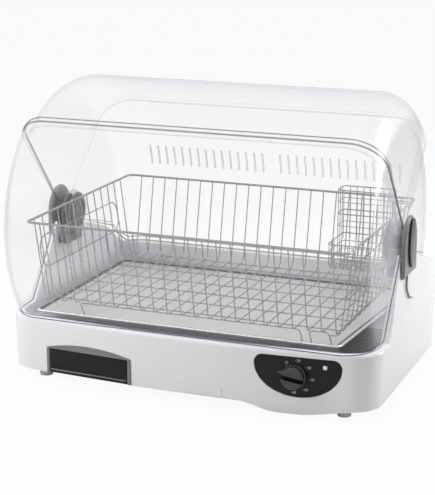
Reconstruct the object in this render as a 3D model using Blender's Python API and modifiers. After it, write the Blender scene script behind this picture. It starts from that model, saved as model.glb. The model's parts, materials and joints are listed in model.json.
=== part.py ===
"""Electric dish dryer with a telescoping clear hood, modelled as the separate pieces it comes apart into.

Metres, +Z up. The origin is on the floor under the middle of the closed dryer. -Y is the front, with the
timer panel at the right and the water drawer at the left. The three clear hood covers turn about one
axis along X through the two hubs.
"""

from math import asin, cos, degrees, hypot, pi, radians, sin, sqrt

import bmesh
import bpy
from mathutils import Matrix, Vector

# Clearances and cutting allowances
TOUCH_GAP = 0.0003
RUNNING_GAP = 0.0005
SLIDE_GAP = 0.0010
OVERRUN = 0.0040
WELD = 0.00002

# The two sizes that the others follow: half the base's width and the front cover's radius
BASE_HALF = 0.2730
FRONT_R = 0.2095

# Hood: three nested covers about the pivot axis
PIVOT_Z = 0.2090
COVER_WALL = 0.0024
COVER_NEST_R = 0.0050
COVER_NEST_X = 0.0060
COVER_FROM_SIDE = 0.0080
TOP_R = FRONT_R - COVER_NEST_R
REAR_R = TOP_R - COVER_NEST_R
FRONT_HALF = BASE_HALF - COVER_FROM_SIDE
TOP_HALF = FRONT_HALF - COVER_NEST_X
REAR_HALF = TOP_HALF - COVER_NEST_X
COVER_FILLET = 0.0460
COVER_INNER_SHARE = 0.7
EAR_R = 0.0260
EAR_WALL = 0.0034
LIP_WIDTH = 0.0090
LIP_PROUD = 0.0018
LIP_SINK_SHARE = 0.75
FOOT_BAND_DEG = 3.0
FRONT_SWEEP_FROM_DEG = -80.0
FRONT_LIP_DEG = 51.5
TOP_FROM_DEG = 48.5
TOP_TO_DEG = 134.0
REAR_FROM_DEG = 131.5
REAR_SWEEP_TO_DEG = 248.0
SWEEP_STEP_DEG = 9.0
FILLET_STEPS = 5
PIVOT_Y = (FRONT_R - REAR_R) / 2

# Exhaust slots of the rear cover
SLOT_COUNT = 15
SLOT_FIRST_X = 0.0145
SLOT_FROM_FILLET = 0.0035
SLOT_PITCH = (REAR_HALF - COVER_FILLET - SLOT_FROM_FILLET - SLOT_FIRST_X) / (SLOT_COUNT - 1)
SLOT_WIDTH = 0.0032
SLOT_LOW_DEG = 168.6
SLOT_HIGH_DEG = 159.4

# Base housing: its depth follows the covers where they meet the rim
RIM_Z = 0.0940
REAR_RIM_Z = 0.1220
FRONT_LEDGE = 0.00788
REAR_LEDGE = 0.00847
BASE_FRONT = PIVOT_Y - sqrt(FRONT_R**2 - (PIVOT_Z - RIM_Z) ** 2) - FRONT_LEDGE
BASE_REAR = PIVOT_Y + sqrt(REAR_R**2 - (PIVOT_Z - REAR_RIM_Z) ** 2) + REAR_LEDGE
BASE_CORNER_R = 0.0450
FRONT_BOW_R = 2.1700
SKIRT_Z = 0.0160
SKIRT_DIP = 0.0085
DIP_FROM_SIDE = 0.1980
DIP_RUN = 0.0570
DIP_START_X = BASE_HALF - DIP_FROM_SIDE
DIP_FULL_X = DIP_START_X + DIP_RUN
DIP_FADE_Y = 0.0880
DIP_DEEP_Y = 0.0300
DRAFT = 0.0012
HOUSING_WALL = 0.0045
RIM_LAND = 0.0130
RIM_ROUND = 0.0050
REAR_ROUND = 0.0090
CHEEK_ROUND = 0.0015
DECK_Z = 0.0740
CHEEK_TOP_OUT = 0.0065
SEAT_FROM_FRONT = 0.0820
SEAT_START_Y = BASE_FRONT + SEAT_FROM_FRONT
SEAT_SLOPE_DEG = 53.9
CHEEK_FROM_REAR = 0.0410
CHEEK_BACK_Y = BASE_REAR - CHEEK_FROM_REAR
CHEEK_BACK_Z = 0.1500
CHEEK_SHOULDER_SHARE = 0.05
REAR_LAND_SHARE = 1.6
EAR_WELL_R = 0.0290
EAR_WELL_BACK_DEG = 40.0
EAR_WELL_SHARES = (0.3, 0.55, 0.8, 1.0)
CORNER_STEPS = 6
BOW_STEPS = 8
SEAT_SEARCH_STEP = 0.0005
SMOOTH_DEG = 35.0
HOUSING_SMOOTH_DEG = 30.0
COVER_SMOOTH_DEG = 40.0
WIRE_SMOOTH_DEG = 60.0
BEVEL_LIMIT_DEG = 40.0
PLATE_BEVEL_DEG = 60.0

# Feet, bottom cover and its screws
FOOT_R = 0.0100
FOOT_LOW_R = 0.0092
FOOT_FROM_SIDE = 0.0490
FOOT_FROM_END = 0.0430
FOOT_X = BASE_HALF - FOOT_FROM_SIDE
FOOT_FRONT_Y = BASE_FRONT + FOOT_FROM_END
FOOT_REAR_Y = BASE_REAR - FOOT_FROM_END
BOTTOM_WALL = 0.0025
BOTTOM_Z = 0.0175
SCREW_R = 0.0035
SCREW_HEAD = 0.0022
SCREW_SHANK_R = 0.0017
SCREW_LENGTH = 0.0120
BOSS_R = 0.0050
BOSS_LEFT_SIDE = 0.0380
BOSS_LEFT_FRONT = 0.0660
BOSS_RIGHT_SIDE = 0.1780
BOSS_RIGHT_FRONT = 0.0580
BOSS_REAR_SIDE = 0.0580
BOSS_REAR_END = 0.0630
BOSS_FRONT_LEFT = (BOSS_LEFT_SIDE - BASE_HALF, BASE_FRONT + BOSS_LEFT_FRONT)
BOSS_FRONT_RIGHT = (BASE_HALF - BOSS_RIGHT_SIDE, BASE_FRONT + BOSS_RIGHT_FRONT)
BOSS_REAR_LEFT = (BOSS_REAR_SIDE - BASE_HALF, BASE_REAR - BOSS_REAR_END)
BOSS_REAR_RIGHT = (BASE_HALF - BOSS_REAR_SIDE, BASE_REAR - BOSS_REAR_END)
BOSSES = (BOSS_FRONT_LEFT, BOSS_FRONT_RIGHT, BOSS_REAR_LEFT, BOSS_REAR_RIGHT)

# Hubs
BRACKET_HALF_Y = 0.0360
BRACKET_DROP = 0.0380
BRACKET_WALL = 0.0080
BRACKET_FOOT_HALF = 0.0240
PIN_R = 0.0100
DISC_R = 0.0320
DISC_WALL = 0.0050
DISC_RING_STEP = 0.0080
DISC_GROOVE = 0.0012
HUB_COVER_WALL = 0.0065
HUB_COVER_HALF_Y = 0.0330
HUB_COVER_RISE = 0.0385
HUB_COVER_DROP = 0.0450
HUB_COVER_ROUND = 0.0020
TAIL_WIRE = 0.0030
TAIL_BEND = 0.0080
TAIL_PATH = ((0.0010, 0.1680), (-0.0070, 0.1470), (0.0040, 0.1310), (0.0190, 0.1270))
BADGE_HALF_Y = 0.0165
BADGE_HALF_Z = 0.0350
BADGE_WALL = 0.0030
BADGE_SIDES = 20

# Drip tray (the stainless plate under the basket)
TRAY_TOP_Z = 0.0890
TRAY_SHEET = 0.0010
TRAY_FROM_SIDE = 0.0330
TRAY_FROM_FRONT = 0.0480
TRAY_FROM_REAR = 0.0160
TRAY_HALF = BASE_HALF - TRAY_FROM_SIDE
TRAY_FRONT = BASE_FRONT + TRAY_FROM_FRONT
TRAY_REAR = BASE_REAR - TRAY_FROM_REAR
TRAY_CORNER = 0.0080
TRAY_CUT = 0.0480
TRAY_CUT_SLANT_SHARE = 1.15
TRAY_HEM = 0.0060
TRAY_HOLE_R = 0.0040
TRAY_HOLES = 4
TRAY_LEDGE_SHARE = 0.72

# Water drawer and its bezel
DRAWER_FROM_SIDE = 0.0730
DRAWER_WIDTH = 0.1240
DRAWER_LEFT = DRAWER_FROM_SIDE - BASE_HALF
DRAWER_RIGHT = DRAWER_LEFT + DRAWER_WIDTH
DRAWER_LOW = 0.0225
DRAWER_HIGH = 0.0520
DRAWER_DEPTH = 0.1300
DRAWER_WALL = 0.0020
DRAWER_PULL = 0.0016
BEZEL_SIDE = 0.0050
BEZEL_RISE = 0.0090
BEZEL_HEAD = 0.0012
BEZEL_PROUD = 0.0020
BEZEL_LET_IN = 0.0022
RUNNER_SETBACK = 0.0068
RUNNER_SHARE = 0.8
RUNNER_WALL = 0.0025
RAIL_INSET = 0.0120
MOUTH_DEPTH = 0.0140
DRAIN_FROM_FRONT = 0.0280
DRAIN_Y = BASE_FRONT + DRAIN_FROM_FRONT

# Control panel, timer and pilot lamp
PANEL_FROM_SIDE = 0.0440
PANEL_WIDTH = 0.1200
PANEL_RIGHT = BASE_HALF - PANEL_FROM_SIDE
PANEL_LEFT = PANEL_RIGHT - PANEL_WIDTH
PANEL_TOP = 0.0860
PANEL_DROP = 0.0560
PANEL_END_R = 0.0120
PANEL_STEPS = 12
PANEL_WALL = 0.0026
LAMP_PROUD = 0.0010
PAD_PLACE_SHARE = 0.6034
PAD_WIDTH = 0.0690
PAD_LEFT = DRAWER_RIGHT + (PANEL_LEFT - DRAWER_RIGHT - PAD_WIDTH) * PAD_PLACE_SHARE
PAD_RIGHT = PAD_LEFT + PAD_WIDTH
PAD_LOW = 0.0190
PAD_HIGH = 0.0310
PAD_PROUD = 0.0006
PAD_CORNER = 0.0030
KNOB_FROM_LEFT = 0.0550
KNOB_X = PANEL_LEFT + KNOB_FROM_LEFT
KNOB_Z = 0.0590
KNOB_R = 0.0170
KNOB_DEPTH = 0.0160
KNOB_SKIRT = 0.0035
KNOB_FACE_R = 0.0146
KNOB_BODY_R = 0.0156
KNOB_SHOULDER = 0.0056
KNOB_GRIP_HALF = 0.0042
KNOB_OFF_DEG = 165.0
SHAFT_R = 0.0030
TIMER_R = 0.0180
TIMER_HALF_Z = 0.0100
TIMER_DEPTH = 0.0300
TIMER_EAR_SHARE = 1.4
LAMP_FROM_RIGHT = 0.0230
LAMP_X = PANEL_RIGHT - LAMP_FROM_RIGHT
LAMP_Z = 0.0745
LAMP_SIDE = 0.0056
LAMP_DEPTH = 0.0090

# Blower, heater and electrics under the deck
FAN_FROM_SIDE = 0.1330
FAN_FROM_REAR = 0.1480
FAN_X = BASE_HALF - FAN_FROM_SIDE
FAN_Y = BASE_REAR - FAN_FROM_REAR
IMPELLER_R = 0.0480
IMPELLER_HEIGHT = 0.0180
IMPELLER_BLADES = 12
BLADE_WALL = 0.0014
BLADE_DEPTH = 0.0110
SCROLL_GAP = 0.0040
SCROLL_GROWTH = 0.0220
SCROLL_WALL = 0.0020
SCROLL_HEIGHT = 0.0260
SCROLL_STEPS = 20
SCROLL_FROM_DEG = -30.0
SCROLL_TURN_DEG = 330.0
EYE_R = 0.0360
MOTOR_R = 0.0280
MOTOR_HEIGHT = 0.0200
MOTOR_CAN_SHARE = 0.7
MOTOR_CORE_SHARE = 0.6
FAN_SHAFT_R = 0.0025
HEATER_HALF_X = 0.0260
HEATER_HALF_Y = 0.0080
HEATER_FROM_FRONT = 0.0900
HEATER_FROM_SIDE = 0.0570
HEATER_Y = BASE_FRONT + HEATER_FROM_FRONT
HEATER_X = BASE_HALF - HEATER_FROM_SIDE
HEATER_GAP_SHARE = 0.3
HEATER_FINS = 7
GRILLE_BARS = 6
GRILLE_HALF_X = 0.0180
GRILLE_HALF_Y = 0.0210
GRILLE_FROM_SIDE = 0.0430
GRILLE_FROM_FRONT = 0.0650
GRILLE_X = BASE_HALF - GRILLE_FROM_SIDE
GRILLE_Y = BASE_FRONT + GRILLE_FROM_FRONT
GRILLE_WALL = 0.0020
FILTER_R = 0.0460
FILTER_BARS = 2
FILTER_PITCH = 0.0150
FILTER_SLOT = 0.0070
FILTER_EDGE = 0.0070
GLAND_FROM_SIDE = 0.1230
GLAND_X = BASE_HALF - GLAND_FROM_SIDE
GLAND_Z = 0.0400
GLAND_R = 0.0085
GLAND_LENGTH = 0.0220
GLAND_BORE_R = 0.0035
GLAND_SIDES = 16
GLAND_FLANGE_R = 0.0110
BLOCK_SIDE = 0.0240
BLOCK_HEIGHT = 0.0140
TERMINAL_STEP_SHARE = 0.6

# Dish basket
BASKET_FROM_SIDE = 0.0395
BASKET_FROM_FRONT = 0.0130
BASKET_FROM_REAR = 0.0160
BASKET_HALF = BASE_HALF - BASKET_FROM_SIDE
BASKET_FRONT = BASE_FRONT + BASKET_FROM_FRONT
BASKET_REAR = BASE_REAR - BASKET_FROM_REAR
BASKET_LEAN = 0.0240
BASKET_SIDE_LEAN = 0.0160
BASKET_RIM_Z = 0.2310
BASKET_FLOOR_Z = 0.1130
BASKET_CORNER_R = 0.0180
RIM_WIRE = 0.0042
WIRE = 0.0026
WIRE_BEND = 0.0090
LONG_WIRES = 22
LONG_FROM_SIDE = 0.0214
LONG_PITCH = 2 * (BASKET_HALF - LONG_FROM_SIDE) / (LONG_WIRES - 1)
RIM_PIECE = 0.0600
CROSS_WIRES = 3
CROSS_FROM_END = 0.1010
CROSS_PITCH = (BASKET_REAR - BASKET_FRONT - 2 * CROSS_FROM_END) / (CROSS_WIRES - 1)
WIRE_ASIDE = 0.0003
FOOT_BAR_FROM_LEFT = 0.0645
FOOT_BAR_FROM_RIGHT = 0.0755
FOOT_LOOP_FROM_RIGHT = 0.0345
FOOT_LOOP_WIDTH = 0.0280
FOOT_BAR_LEFT = FOOT_BAR_FROM_LEFT - BASKET_HALF
FOOT_BAR_RIGHT = BASKET_HALF - FOOT_BAR_FROM_RIGHT
FOOT_LOOP_RIGHT = BASKET_HALF - FOOT_LOOP_FROM_RIGHT
FOOT_LOOP_LEFT = FOOT_LOOP_RIGHT - FOOT_LOOP_WIDTH
SIDE_LOOP_LOW = 0.1580
SIDE_LOOP_HIGH = 0.2030
LOOP_FROM_FRONT = 0.0270
LOOP_FROM_REAR = 0.0640
SIDE_LOOP_FRONT = BASKET_FRONT + LOOP_FROM_FRONT
SIDE_LOOP_REAR = BASKET_REAR - LOOP_FROM_REAR
WELD_SINK_SHARE = 0.3

# Cutlery basket, hung inside the dish basket at the right rear
CUTLERY_FROM_RIM = 0.0215
CUTLERY_WIDTH = 0.0820
CUTLERY_FROM_REAR = 0.0250
CUTLERY_DEPTH = 0.0770
CUTLERY_STEP = 0.0440
CUTLERY_RIGHT = BASKET_HALF - CUTLERY_FROM_RIM
CUTLERY_LEFT = CUTLERY_RIGHT - CUTLERY_WIDTH
CUTLERY_REAR = BASKET_REAR - CUTLERY_FROM_REAR
CUTLERY_FRONT = CUTLERY_REAR - CUTLERY_DEPTH
CUTLERY_STEP_Y = CUTLERY_FRONT + CUTLERY_STEP
CUTLERY_LOW = 0.1400
CUTLERY_MID = 0.1760
CUTLERY_TOP = 0.2480
CUTLERY_WIRE = 0.0020
CUTLERY_PITCH_COUNT = 5
HOOK_OUT = 0.0080


def remove_all():
    """Clear the scene of whatever it opened with."""
    for item in list(bpy.data.objects):
        bpy.data.objects.remove(item, do_unlink=True)


remove_all()
PARTS = bpy.data.collections.new("electric_dish_dryer")
CUTTERS = bpy.data.collections.new("cutters")
bpy.context.scene.collection.children.link(PARTS)
bpy.context.scene.collection.children.link(CUTTERS)
CUTTERS.hide_render = True


def material(name, colour, roughness, metallic=0.0, alpha=1.0):
    made = bpy.data.materials.new(name)
    made.use_nodes = True
    shader = made.node_tree.nodes["Principled BSDF"]
    shader.inputs["Base Color"].default_value = (*colour, 1.0)
    shader.inputs["Roughness"].default_value = roughness
    shader.inputs["Metallic"].default_value = metallic
    shader.inputs["Alpha"].default_value = alpha
    return made


WHITE = material("white_plastic", (0.86, 0.86, 0.87), 0.3)
CLEAR = material("clear_plastic", (0.9, 0.92, 0.95), 0.05, alpha=0.25)
GREY = material("grey_plastic", (0.22, 0.22, 0.23), 0.45)
BLACK = material("black_plastic", (0.02, 0.02, 0.022), 0.35)
STEEL = material("stainless_sheet", (0.6, 0.6, 0.6), 0.35, 1.0)
CHROME = material("chromed_wire", (0.72, 0.72, 0.73), 0.2, 1.0)
LAMP = material("lamp_lens", (0.8, 0.78, 0.74), 0.2)
METAL = material("zinc_steel", (0.5, 0.5, 0.52), 0.4, 1.0)


def add_object(name, mesh, finish, helper=False):
    """Link a mesh as a part or, as a helper, among the hidden cutters."""
    made = bpy.data.objects.new(name, mesh)
    (CUTTERS if helper else PARTS).objects.link(made)
    if finish is not None:
        mesh.materials.clear()
        mesh.materials.append(finish)
    if helper:
        made.hide_render = True
        made.display_type = "WIRE"
    return made


def mesh_from(name, build):
    """Run build on an empty bmesh and return it as a mesh with its normals facing out."""
    work = bmesh.new()
    build(work)
    bmesh.ops.recalc_face_normals(work, faces=work.faces)
    mesh = bpy.data.meshes.new(name)
    work.to_mesh(mesh)
    work.free()
    return mesh


def box_mesh(name, low, high):
    """A box between two corners."""

    def build(work):
        size = [b - a for a, b in zip(low, high)]
        middle = [(a + b) / 2 for a, b in zip(low, high)]
        place = Matrix.Translation(middle) @ Matrix.Diagonal((*size, 1))
        bmesh.ops.create_cube(work, size=1, matrix=place)

    return mesh_from(name, build)


AXIS_TURN = {
    "X": Matrix.Rotation(pi / 2, 4, "Y"),
    "Y": Matrix.Rotation(-pi / 2, 4, "X"),
    "Z": Matrix.Identity(4),
}


def rod_mesh(name, start, length, radius, axis="Z", sides=24, end_radius=None):
    """A cylinder or cone from start, running along +axis."""

    def build(work):
        place = Matrix.Translation(start) @ AXIS_TURN[axis] @ Matrix.Translation((0, 0, length / 2))
        bmesh.ops.create_cone(
            work,
            cap_ends=True,
            segments=sides,
            radius1=radius,
            radius2=radius if end_radius is None else end_radius,
            depth=length,
            matrix=place,
        )

    return mesh_from(name, build)


def prism_mesh(name, outline, low, high, axis="Z"):
    """An outline given in the plane across axis, extruded from low to high along it."""
    spots = {
        "X": lambda a, b, c: (c, a, b),
        "Y": lambda a, b, c: (a, c, b),
        "Z": lambda a, b, c: (a, b, c),
    }[axis]

    def build(work):
        bottom = [work.verts.new(spots(a, b, low)) for a, b in outline]
        top = [work.verts.new(spots(a, b, high)) for a, b in outline]
        work.faces.new(bottom)
        work.faces.new(top)
        for i, corner in enumerate(bottom):
            j = (i + 1) % len(bottom)
            work.faces.new((corner, bottom[j], top[j], top[i]))

    return mesh_from(name, build)


def arc(centre, radius, start_deg, end_deg, steps):
    """Points along a circle in a plane, both ends included."""
    turns = [radians(start_deg + (end_deg - start_deg) * i / steps) for i in range(steps + 1)]
    return [(centre[0] + radius * cos(t), centre[1] + radius * sin(t)) for t in turns]


def rounded_box(low, high, radius, steps=3):
    """Outline of a rectangle with rounded corners."""
    (x0, y0), (x1, y1) = low, high
    return (
        arc((x0 + radius, y0 + radius), radius, 180, 270, steps)
        + arc((x1 - radius, y0 + radius), radius, 270, 360, steps)
        + arc((x1 - radius, y1 - radius), radius, 0, 90, steps)
        + arc((x0 + radius, y1 - radius), radius, 90, 180, steps)
    )


def boolean(target, mesh, operation):
    """Give target a Boolean with mesh, kept as a hidden helper, and return target."""
    count = len(target.modifiers)
    helper = add_object(f"{target.name}_{operation.lower()}_{count}", mesh, None, helper=True)
    made = target.modifiers.new(f"{operation.lower()} {count}", "BOOLEAN")
    made.operation = operation
    made.object = helper
    made.solver = "EXACT"
    return target


def cut(target, mesh):
    return boolean(target, mesh, "DIFFERENCE")


def fuse(target, mesh):
    return boolean(target, mesh, "UNION")


def boolean_group(target, meshes, operation):
    """One Boolean against many meshes at once, each its own hidden helper."""
    group = bpy.data.collections.new(f"{target.name}_{operation.lower()}_group")
    CUTTERS.children.link(group)
    for i, mesh in enumerate(meshes):
        helper = bpy.data.objects.new(f"{target.name}_helper_{i}", mesh)
        helper.hide_render = True
        helper.display_type = "WIRE"
        group.objects.link(helper)
    made = target.modifiers.new(f"{operation.lower()} group", "BOOLEAN")
    made.operation = operation
    made.operand_type = "COLLECTION"
    made.collection = group
    made.solver = "EXACT"
    return target


def bevel(target, width, segments=2, limit_deg=BEVEL_LIMIT_DEG):
    """Round the sharp edges of target to width, and return target."""
    made = target.modifiers.new("rounded edges", "BEVEL")
    made.width = width
    made.segments = segments
    made.limit_method = "ANGLE"
    made.angle_limit = radians(limit_deg)
    return target


def smooth(target, sharp_deg=SMOOTH_DEG):
    """Shade target smooth except across edges sharper than sharp_deg, and return target."""
    target.data.shade_smooth()
    target.data.set_sharp_from_angle(angle=radians(sharp_deg))
    return target


def evaluated_mesh(item):
    """The mesh an object evaluates to, with its loose caps welded."""
    graph = bpy.context.evaluated_depsgraph_get()
    mesh = bpy.data.meshes.new_from_object(item.evaluated_get(graph))
    work = bmesh.new()
    work.from_mesh(mesh)
    bmesh.ops.remove_doubles(work, verts=work.verts, dist=WELD)
    bmesh.ops.recalc_face_normals(work, faces=work.faces)
    work.to_mesh(mesh)
    work.free()
    mesh.transform(item.matrix_world)
    return mesh


def wire_mesh(name, points, diameter, closed=False, tilt_deg=0):
    """A wire through points, as a mesh made from a bevelled curve of four sides."""
    curve = bpy.data.curves.new(name, "CURVE")
    curve.dimensions = "3D"
    curve.bevel_depth = diameter / 2
    curve.bevel_resolution = 0
    curve.use_fill_caps = not closed
    spline = curve.splines.new("POLY")
    spline.points.add(len(points) - 1)
    for spot, point in zip(spline.points, points):
        spot.co = (*point, 1)
        spot.tilt = radians(tilt_deg)
    spline.use_cyclic_u = closed
    guide = bpy.data.objects.new(name, curve)
    CUTTERS.objects.link(guide)
    bpy.context.view_layer.update()
    mesh = evaluated_mesh(guide)
    bpy.data.objects.remove(guide, do_unlink=True)
    return mesh


def bent(points, radius, steps=2):
    """A polyline with each inner corner rounded to about radius."""
    path = [Vector(points[0])]
    for before, corner, after in zip(points, points[1:], points[2:]):
        corner = Vector(corner)
        back = (Vector(before) - corner).normalized()
        ahead = (Vector(after) - corner).normalized()
        half = back.angle(ahead) / 2
        reach = radius / max(sin(half) / cos(half), WELD)
        start = corner + back * reach
        end = corner + ahead * reach
        for i in range(steps + 1):
            t = i / steps
            path.append(start * (1 - t) ** 2 + corner * (2 * t * (1 - t)) + end * t**2)
    path.append(Vector(points[-1]))
    return path


# The base housing


def plan_centres():
    """Centres of the front corner arcs, rear corner arcs and the bowed front, in plan."""
    corner_x = BASE_HALF - BASE_CORNER_R
    bow_y = BASE_FRONT + FRONT_BOW_R
    reach = sqrt((FRONT_BOW_R - BASE_CORNER_R) ** 2 - corner_x**2)
    return corner_x, bow_y - reach, BASE_REAR - BASE_CORNER_R, bow_y


def cheek_line_y(z):
    """Where the slanted seat of the front cover is at height z."""
    return SEAT_START_Y + (z - RIM_Z) / sin(radians(SEAT_SLOPE_DEG)) * cos(radians(SEAT_SLOPE_DEG))


def ear_well_z(y):
    """Height of the hollow under the cover ears at y."""
    return PIVOT_Z - sqrt(max(EAR_WELL_R**2 - (y - PIVOT_Y) ** 2, 0))


def well_back_y():
    """Where the ear well ends towards the rear."""
    return PIVOT_Y + EAR_WELL_R * cos(radians(EAR_WELL_BACK_DEG))


def seat_top():
    """Where the slanted seat runs into the ear well, as (y, z)."""
    z = PIVOT_Z - EAR_WELL_R
    while (cheek_line_y(z) - PIVOT_Y) ** 2 + (z - PIVOT_Z) ** 2 > EAR_WELL_R**2:
        z += SEAT_SEARCH_STEP
    return cheek_line_y(z), z


def side_stations():
    """(y, rim height) at the points of a side wall, front to back."""
    seat_y, seat_z = seat_top()
    well_back = well_back_y()
    middle = ((SEAT_START_Y + seat_y) / 2, (RIM_Z + seat_z) / 2)
    stations = [(SEAT_START_Y, RIM_Z), middle, (seat_y, seat_z)]
    for share in EAR_WELL_SHARES:
        y = seat_y + (well_back - seat_y) * share
        stations.append((y, ear_well_z(y)))
    back_z = stations[-1][1]
    stations.append(((well_back + CHEEK_BACK_Y) / 2, (back_z + CHEEK_BACK_Z) / 2))
    stations.append((CHEEK_BACK_Y, CHEEK_BACK_Z))
    return stations


def plan(inset):
    """Closed outline at an inset, anticlockwise from the left side's back, as (x, y, rim height)."""
    corner_x, front_y, rear_y, bow_y = plan_centres()
    r = BASE_CORNER_R - inset
    lean = degrees(asin(corner_x / (FRONT_BOW_R - BASE_CORNER_R)))
    half = BASE_HALF - inset
    side = [(y, z) for y, z in side_stations() if front_y < y < rear_y]
    outline = [(-half, y, z) for y, z in reversed(side)]
    front_left = arc((-corner_x, front_y), r, 180, 270 - lean, CORNER_STEPS)
    outline += [(x, y, RIM_Z) for x, y in front_left]
    bow = arc((0, bow_y), FRONT_BOW_R - inset, 270 - lean, 270 + lean, BOW_STEPS)
    outline += [(x, y, RIM_Z) for x, y in bow[1:-1]]
    front_right = arc((corner_x, front_y), r, 270 + lean, 360, CORNER_STEPS)
    outline += [(x, y, RIM_Z) for x, y in front_right]
    outline += [(half, y, z) for y, z in side]
    back = arc((corner_x, rear_y), r, 0, 90, CORNER_STEPS)
    rear = [(x, y, rear_corner_z(i)) for i, (x, y) in enumerate(back)]
    outline += rear + [(-x, y, z) for x, y, z in reversed(rear)]
    return outline


def rear_corner_z(step):
    """The rim falls from the cheek to the rear wall round the rear corner."""
    share = min(step / (CORNER_STEPS - 2), 1)
    return CHEEK_BACK_Z + (REAR_RIM_Z - CHEEK_BACK_Z) * ease(share)


def ease(t):
    """A smooth step from 0 to 1."""
    t = min(max(t, 0), 1)
    return t * t * (3 - 2 * t)


def skirt_z(x, y):
    """Bottom edge of the housing: level, with a smooth dip under the control panel."""
    along = ease((x - DIP_START_X) / (DIP_FULL_X - DIP_START_X))
    fade = ease((BASE_FRONT + DIP_FADE_Y - y) / (DIP_FADE_Y - DIP_DEEP_Y))
    return SKIRT_Z - SKIRT_DIP * along * fade


def outer_inset(rim, z):
    """How far the outer skin leans in at height z on a wall whose rim is at height rim."""
    if z <= RIM_Z:
        return DRAFT * (RIM_Z - z) / (RIM_Z - SKIRT_Z)
    return CHEEK_TOP_OUT * (z - RIM_Z) / (PIVOT_Z - EAR_WELL_R - RIM_Z)


def rim_round(rim):
    """Radius of the rim's outer edge: large at the rear wall, small on the cheeks."""
    share = ease((rim - REAR_RIM_Z) / (CHEEK_BACK_Z - REAR_RIM_Z))
    if rim <= RIM_Z + OVERRUN:
        return RIM_ROUND
    return REAR_ROUND + (CHEEK_ROUND - REAR_ROUND) * share


def housing_rings():
    """Rings of the housing skin from the outer bottom edge, over the rim and down to the deck."""
    shape = plan(0)
    count = len(shape)

    def ring(rule):
        spots = []
        for i in range(count):
            rim = shape[i][2]
            inset, z = rule(rim, shape[i][0], shape[i][1])
            x, y, _ = plan(inset)[i]
            spots.append((x, y, z))
        return spots

    def outer(z_of):
        def rule(rim, x, y):
            z = z_of(rim, x, y)
            return outer_inset(rim, z), z

        return rule

    def rounding(turn_deg):
        def rule(rim, x, y):
            r = rim_round(rim)
            z = rim - r * (1 - sin(radians(turn_deg)))
            return outer_inset(rim, rim - r) + r * (1 - cos(radians(turn_deg))), z

        return rule

    return [
        ring(outer(lambda rim, x, y: skirt_z(x, y))),
        ring(outer(lambda rim, x, y: (SKIRT_Z + RIM_Z) / 2)),
        ring(outer(lambda rim, x, y: RIM_Z - RIM_ROUND - (rim - RIM_Z) * CHEEK_SHOULDER_SHARE)),
        ring(rounding(0)),
        ring(rounding(45)),
        ring(rounding(90)),
        ring(lambda rim, x, y: (RIM_LAND, rim)),
        ring(lambda rim, x, y: (RIM_LAND, DECK_Z)),
    ]


def underside_rings():
    """Rings of the hollow under the deck, from its top down to the bottom edge."""
    inset = HOUSING_WALL + DRAFT
    shape = plan(inset)
    top = DECK_Z - HOUSING_WALL
    return [
        [(x, y, top) for x, y, _ in shape],
        [(x, y, skirt_z(x, y)) for x, y, _ in shape],
    ]


def build_housing(work):
    rings = housing_rings()
    hollow = underside_rings()
    rows = [[work.verts.new(p) for p in ring] for ring in rings + hollow]
    count = len(rings[0])

    def strip(a, b):
        for i in range(count):
            j = (i + 1) % count
            work.faces.new((a[i], a[j], b[j], b[i]))

    skin = rows[: len(rings)]
    under = rows[len(rings):]
    for a, b in zip(skin, skin[1:]):
        strip(a, b)
    work.faces.new(skin[-1])
    work.faces.new(under[0])
    strip(under[0], under[1])
    strip(under[1], skin[0])


def chord_frame(left, right, z):
    """Frame of a flat plate let into the bowed front: x along it, y inwards, and its depth in the bow."""
    r = FRONT_BOW_R - outer_inset(RIM_Z, z)
    start, end = asin(left / r), asin(right / r)
    middle = (start + end) / 2
    depth = r * cos((end - start) / 2)
    spot = Vector((depth * sin(middle), plan_centres()[3] - depth * cos(middle), 0))
    return Matrix.Translation(spot) @ Matrix.Rotation(middle, 4, "Z"), depth


def inner_skin(depth, x):
    """How far behind a chord the hollow of the housing starts, at x along the chord."""
    return depth - sqrt((FRONT_BOW_R - HOUSING_WALL - DRAFT) ** 2 - x**2)


def framed(mesh, frame):
    """The mesh moved from a plate's own frame into the dryer's."""
    mesh.transform(frame)
    return mesh


def bezel_outline(grow=0.0):
    """The drawer bezel's outline about the drawer's middle: straight foot, arched head."""
    half = (DRAWER_RIGHT - DRAWER_LEFT) / 2 + BEZEL_SIDE + grow
    low = SKIRT_Z + TOUCH_GAP
    if grow:
        low = SKIRT_Z - OVERRUN
    spring = DRAWER_HIGH + BEZEL_HEAD + grow
    radius = (half**2 + BEZEL_RISE**2) / (2 * BEZEL_RISE)
    turn = degrees(asin(half / radius))
    head = arc((0, spring + BEZEL_RISE - radius), radius, 90 - turn, 90 + turn, CORNER_STEPS)
    return [(-half, low), (half, low)] + head


def panel_outline(grow=0.0):
    """The half-moon control panel about its middle: a straight top with round ends over a deep belly."""
    half = (PANEL_RIGHT - PANEL_LEFT) / 2 + grow
    top = PANEL_TOP + grow
    shoulder = top - PANEL_END_R - grow
    depth = shoulder - (PANEL_TOP - PANEL_DROP - grow)
    turns = [radians(180 + 180 * i / PANEL_STEPS) for i in range(PANEL_STEPS + 1)]
    belly = [(half * cos(t), shoulder + depth * sin(t)) for t in turns]
    end_r = PANEL_END_R + grow
    crown = arc((half - end_r, shoulder), end_r, 0, 90, FILLET_STEPS - 1)[1:]
    crown += arc((end_r - half, shoulder), end_r, 90, 180, FILLET_STEPS - 1)[:-1]
    return belly + crown


def bezel_frame():
    return chord_frame(DRAWER_LEFT - BEZEL_SIDE, DRAWER_RIGHT + BEZEL_SIDE, SKIRT_Z)


def panel_frame():
    return chord_frame(PANEL_LEFT, PANEL_RIGHT, PANEL_TOP - PANEL_DROP)


def panel_x(x):
    """An x of the dryer as an x along the control panel."""
    return x - (PANEL_LEFT + PANEL_RIGHT) / 2


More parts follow.
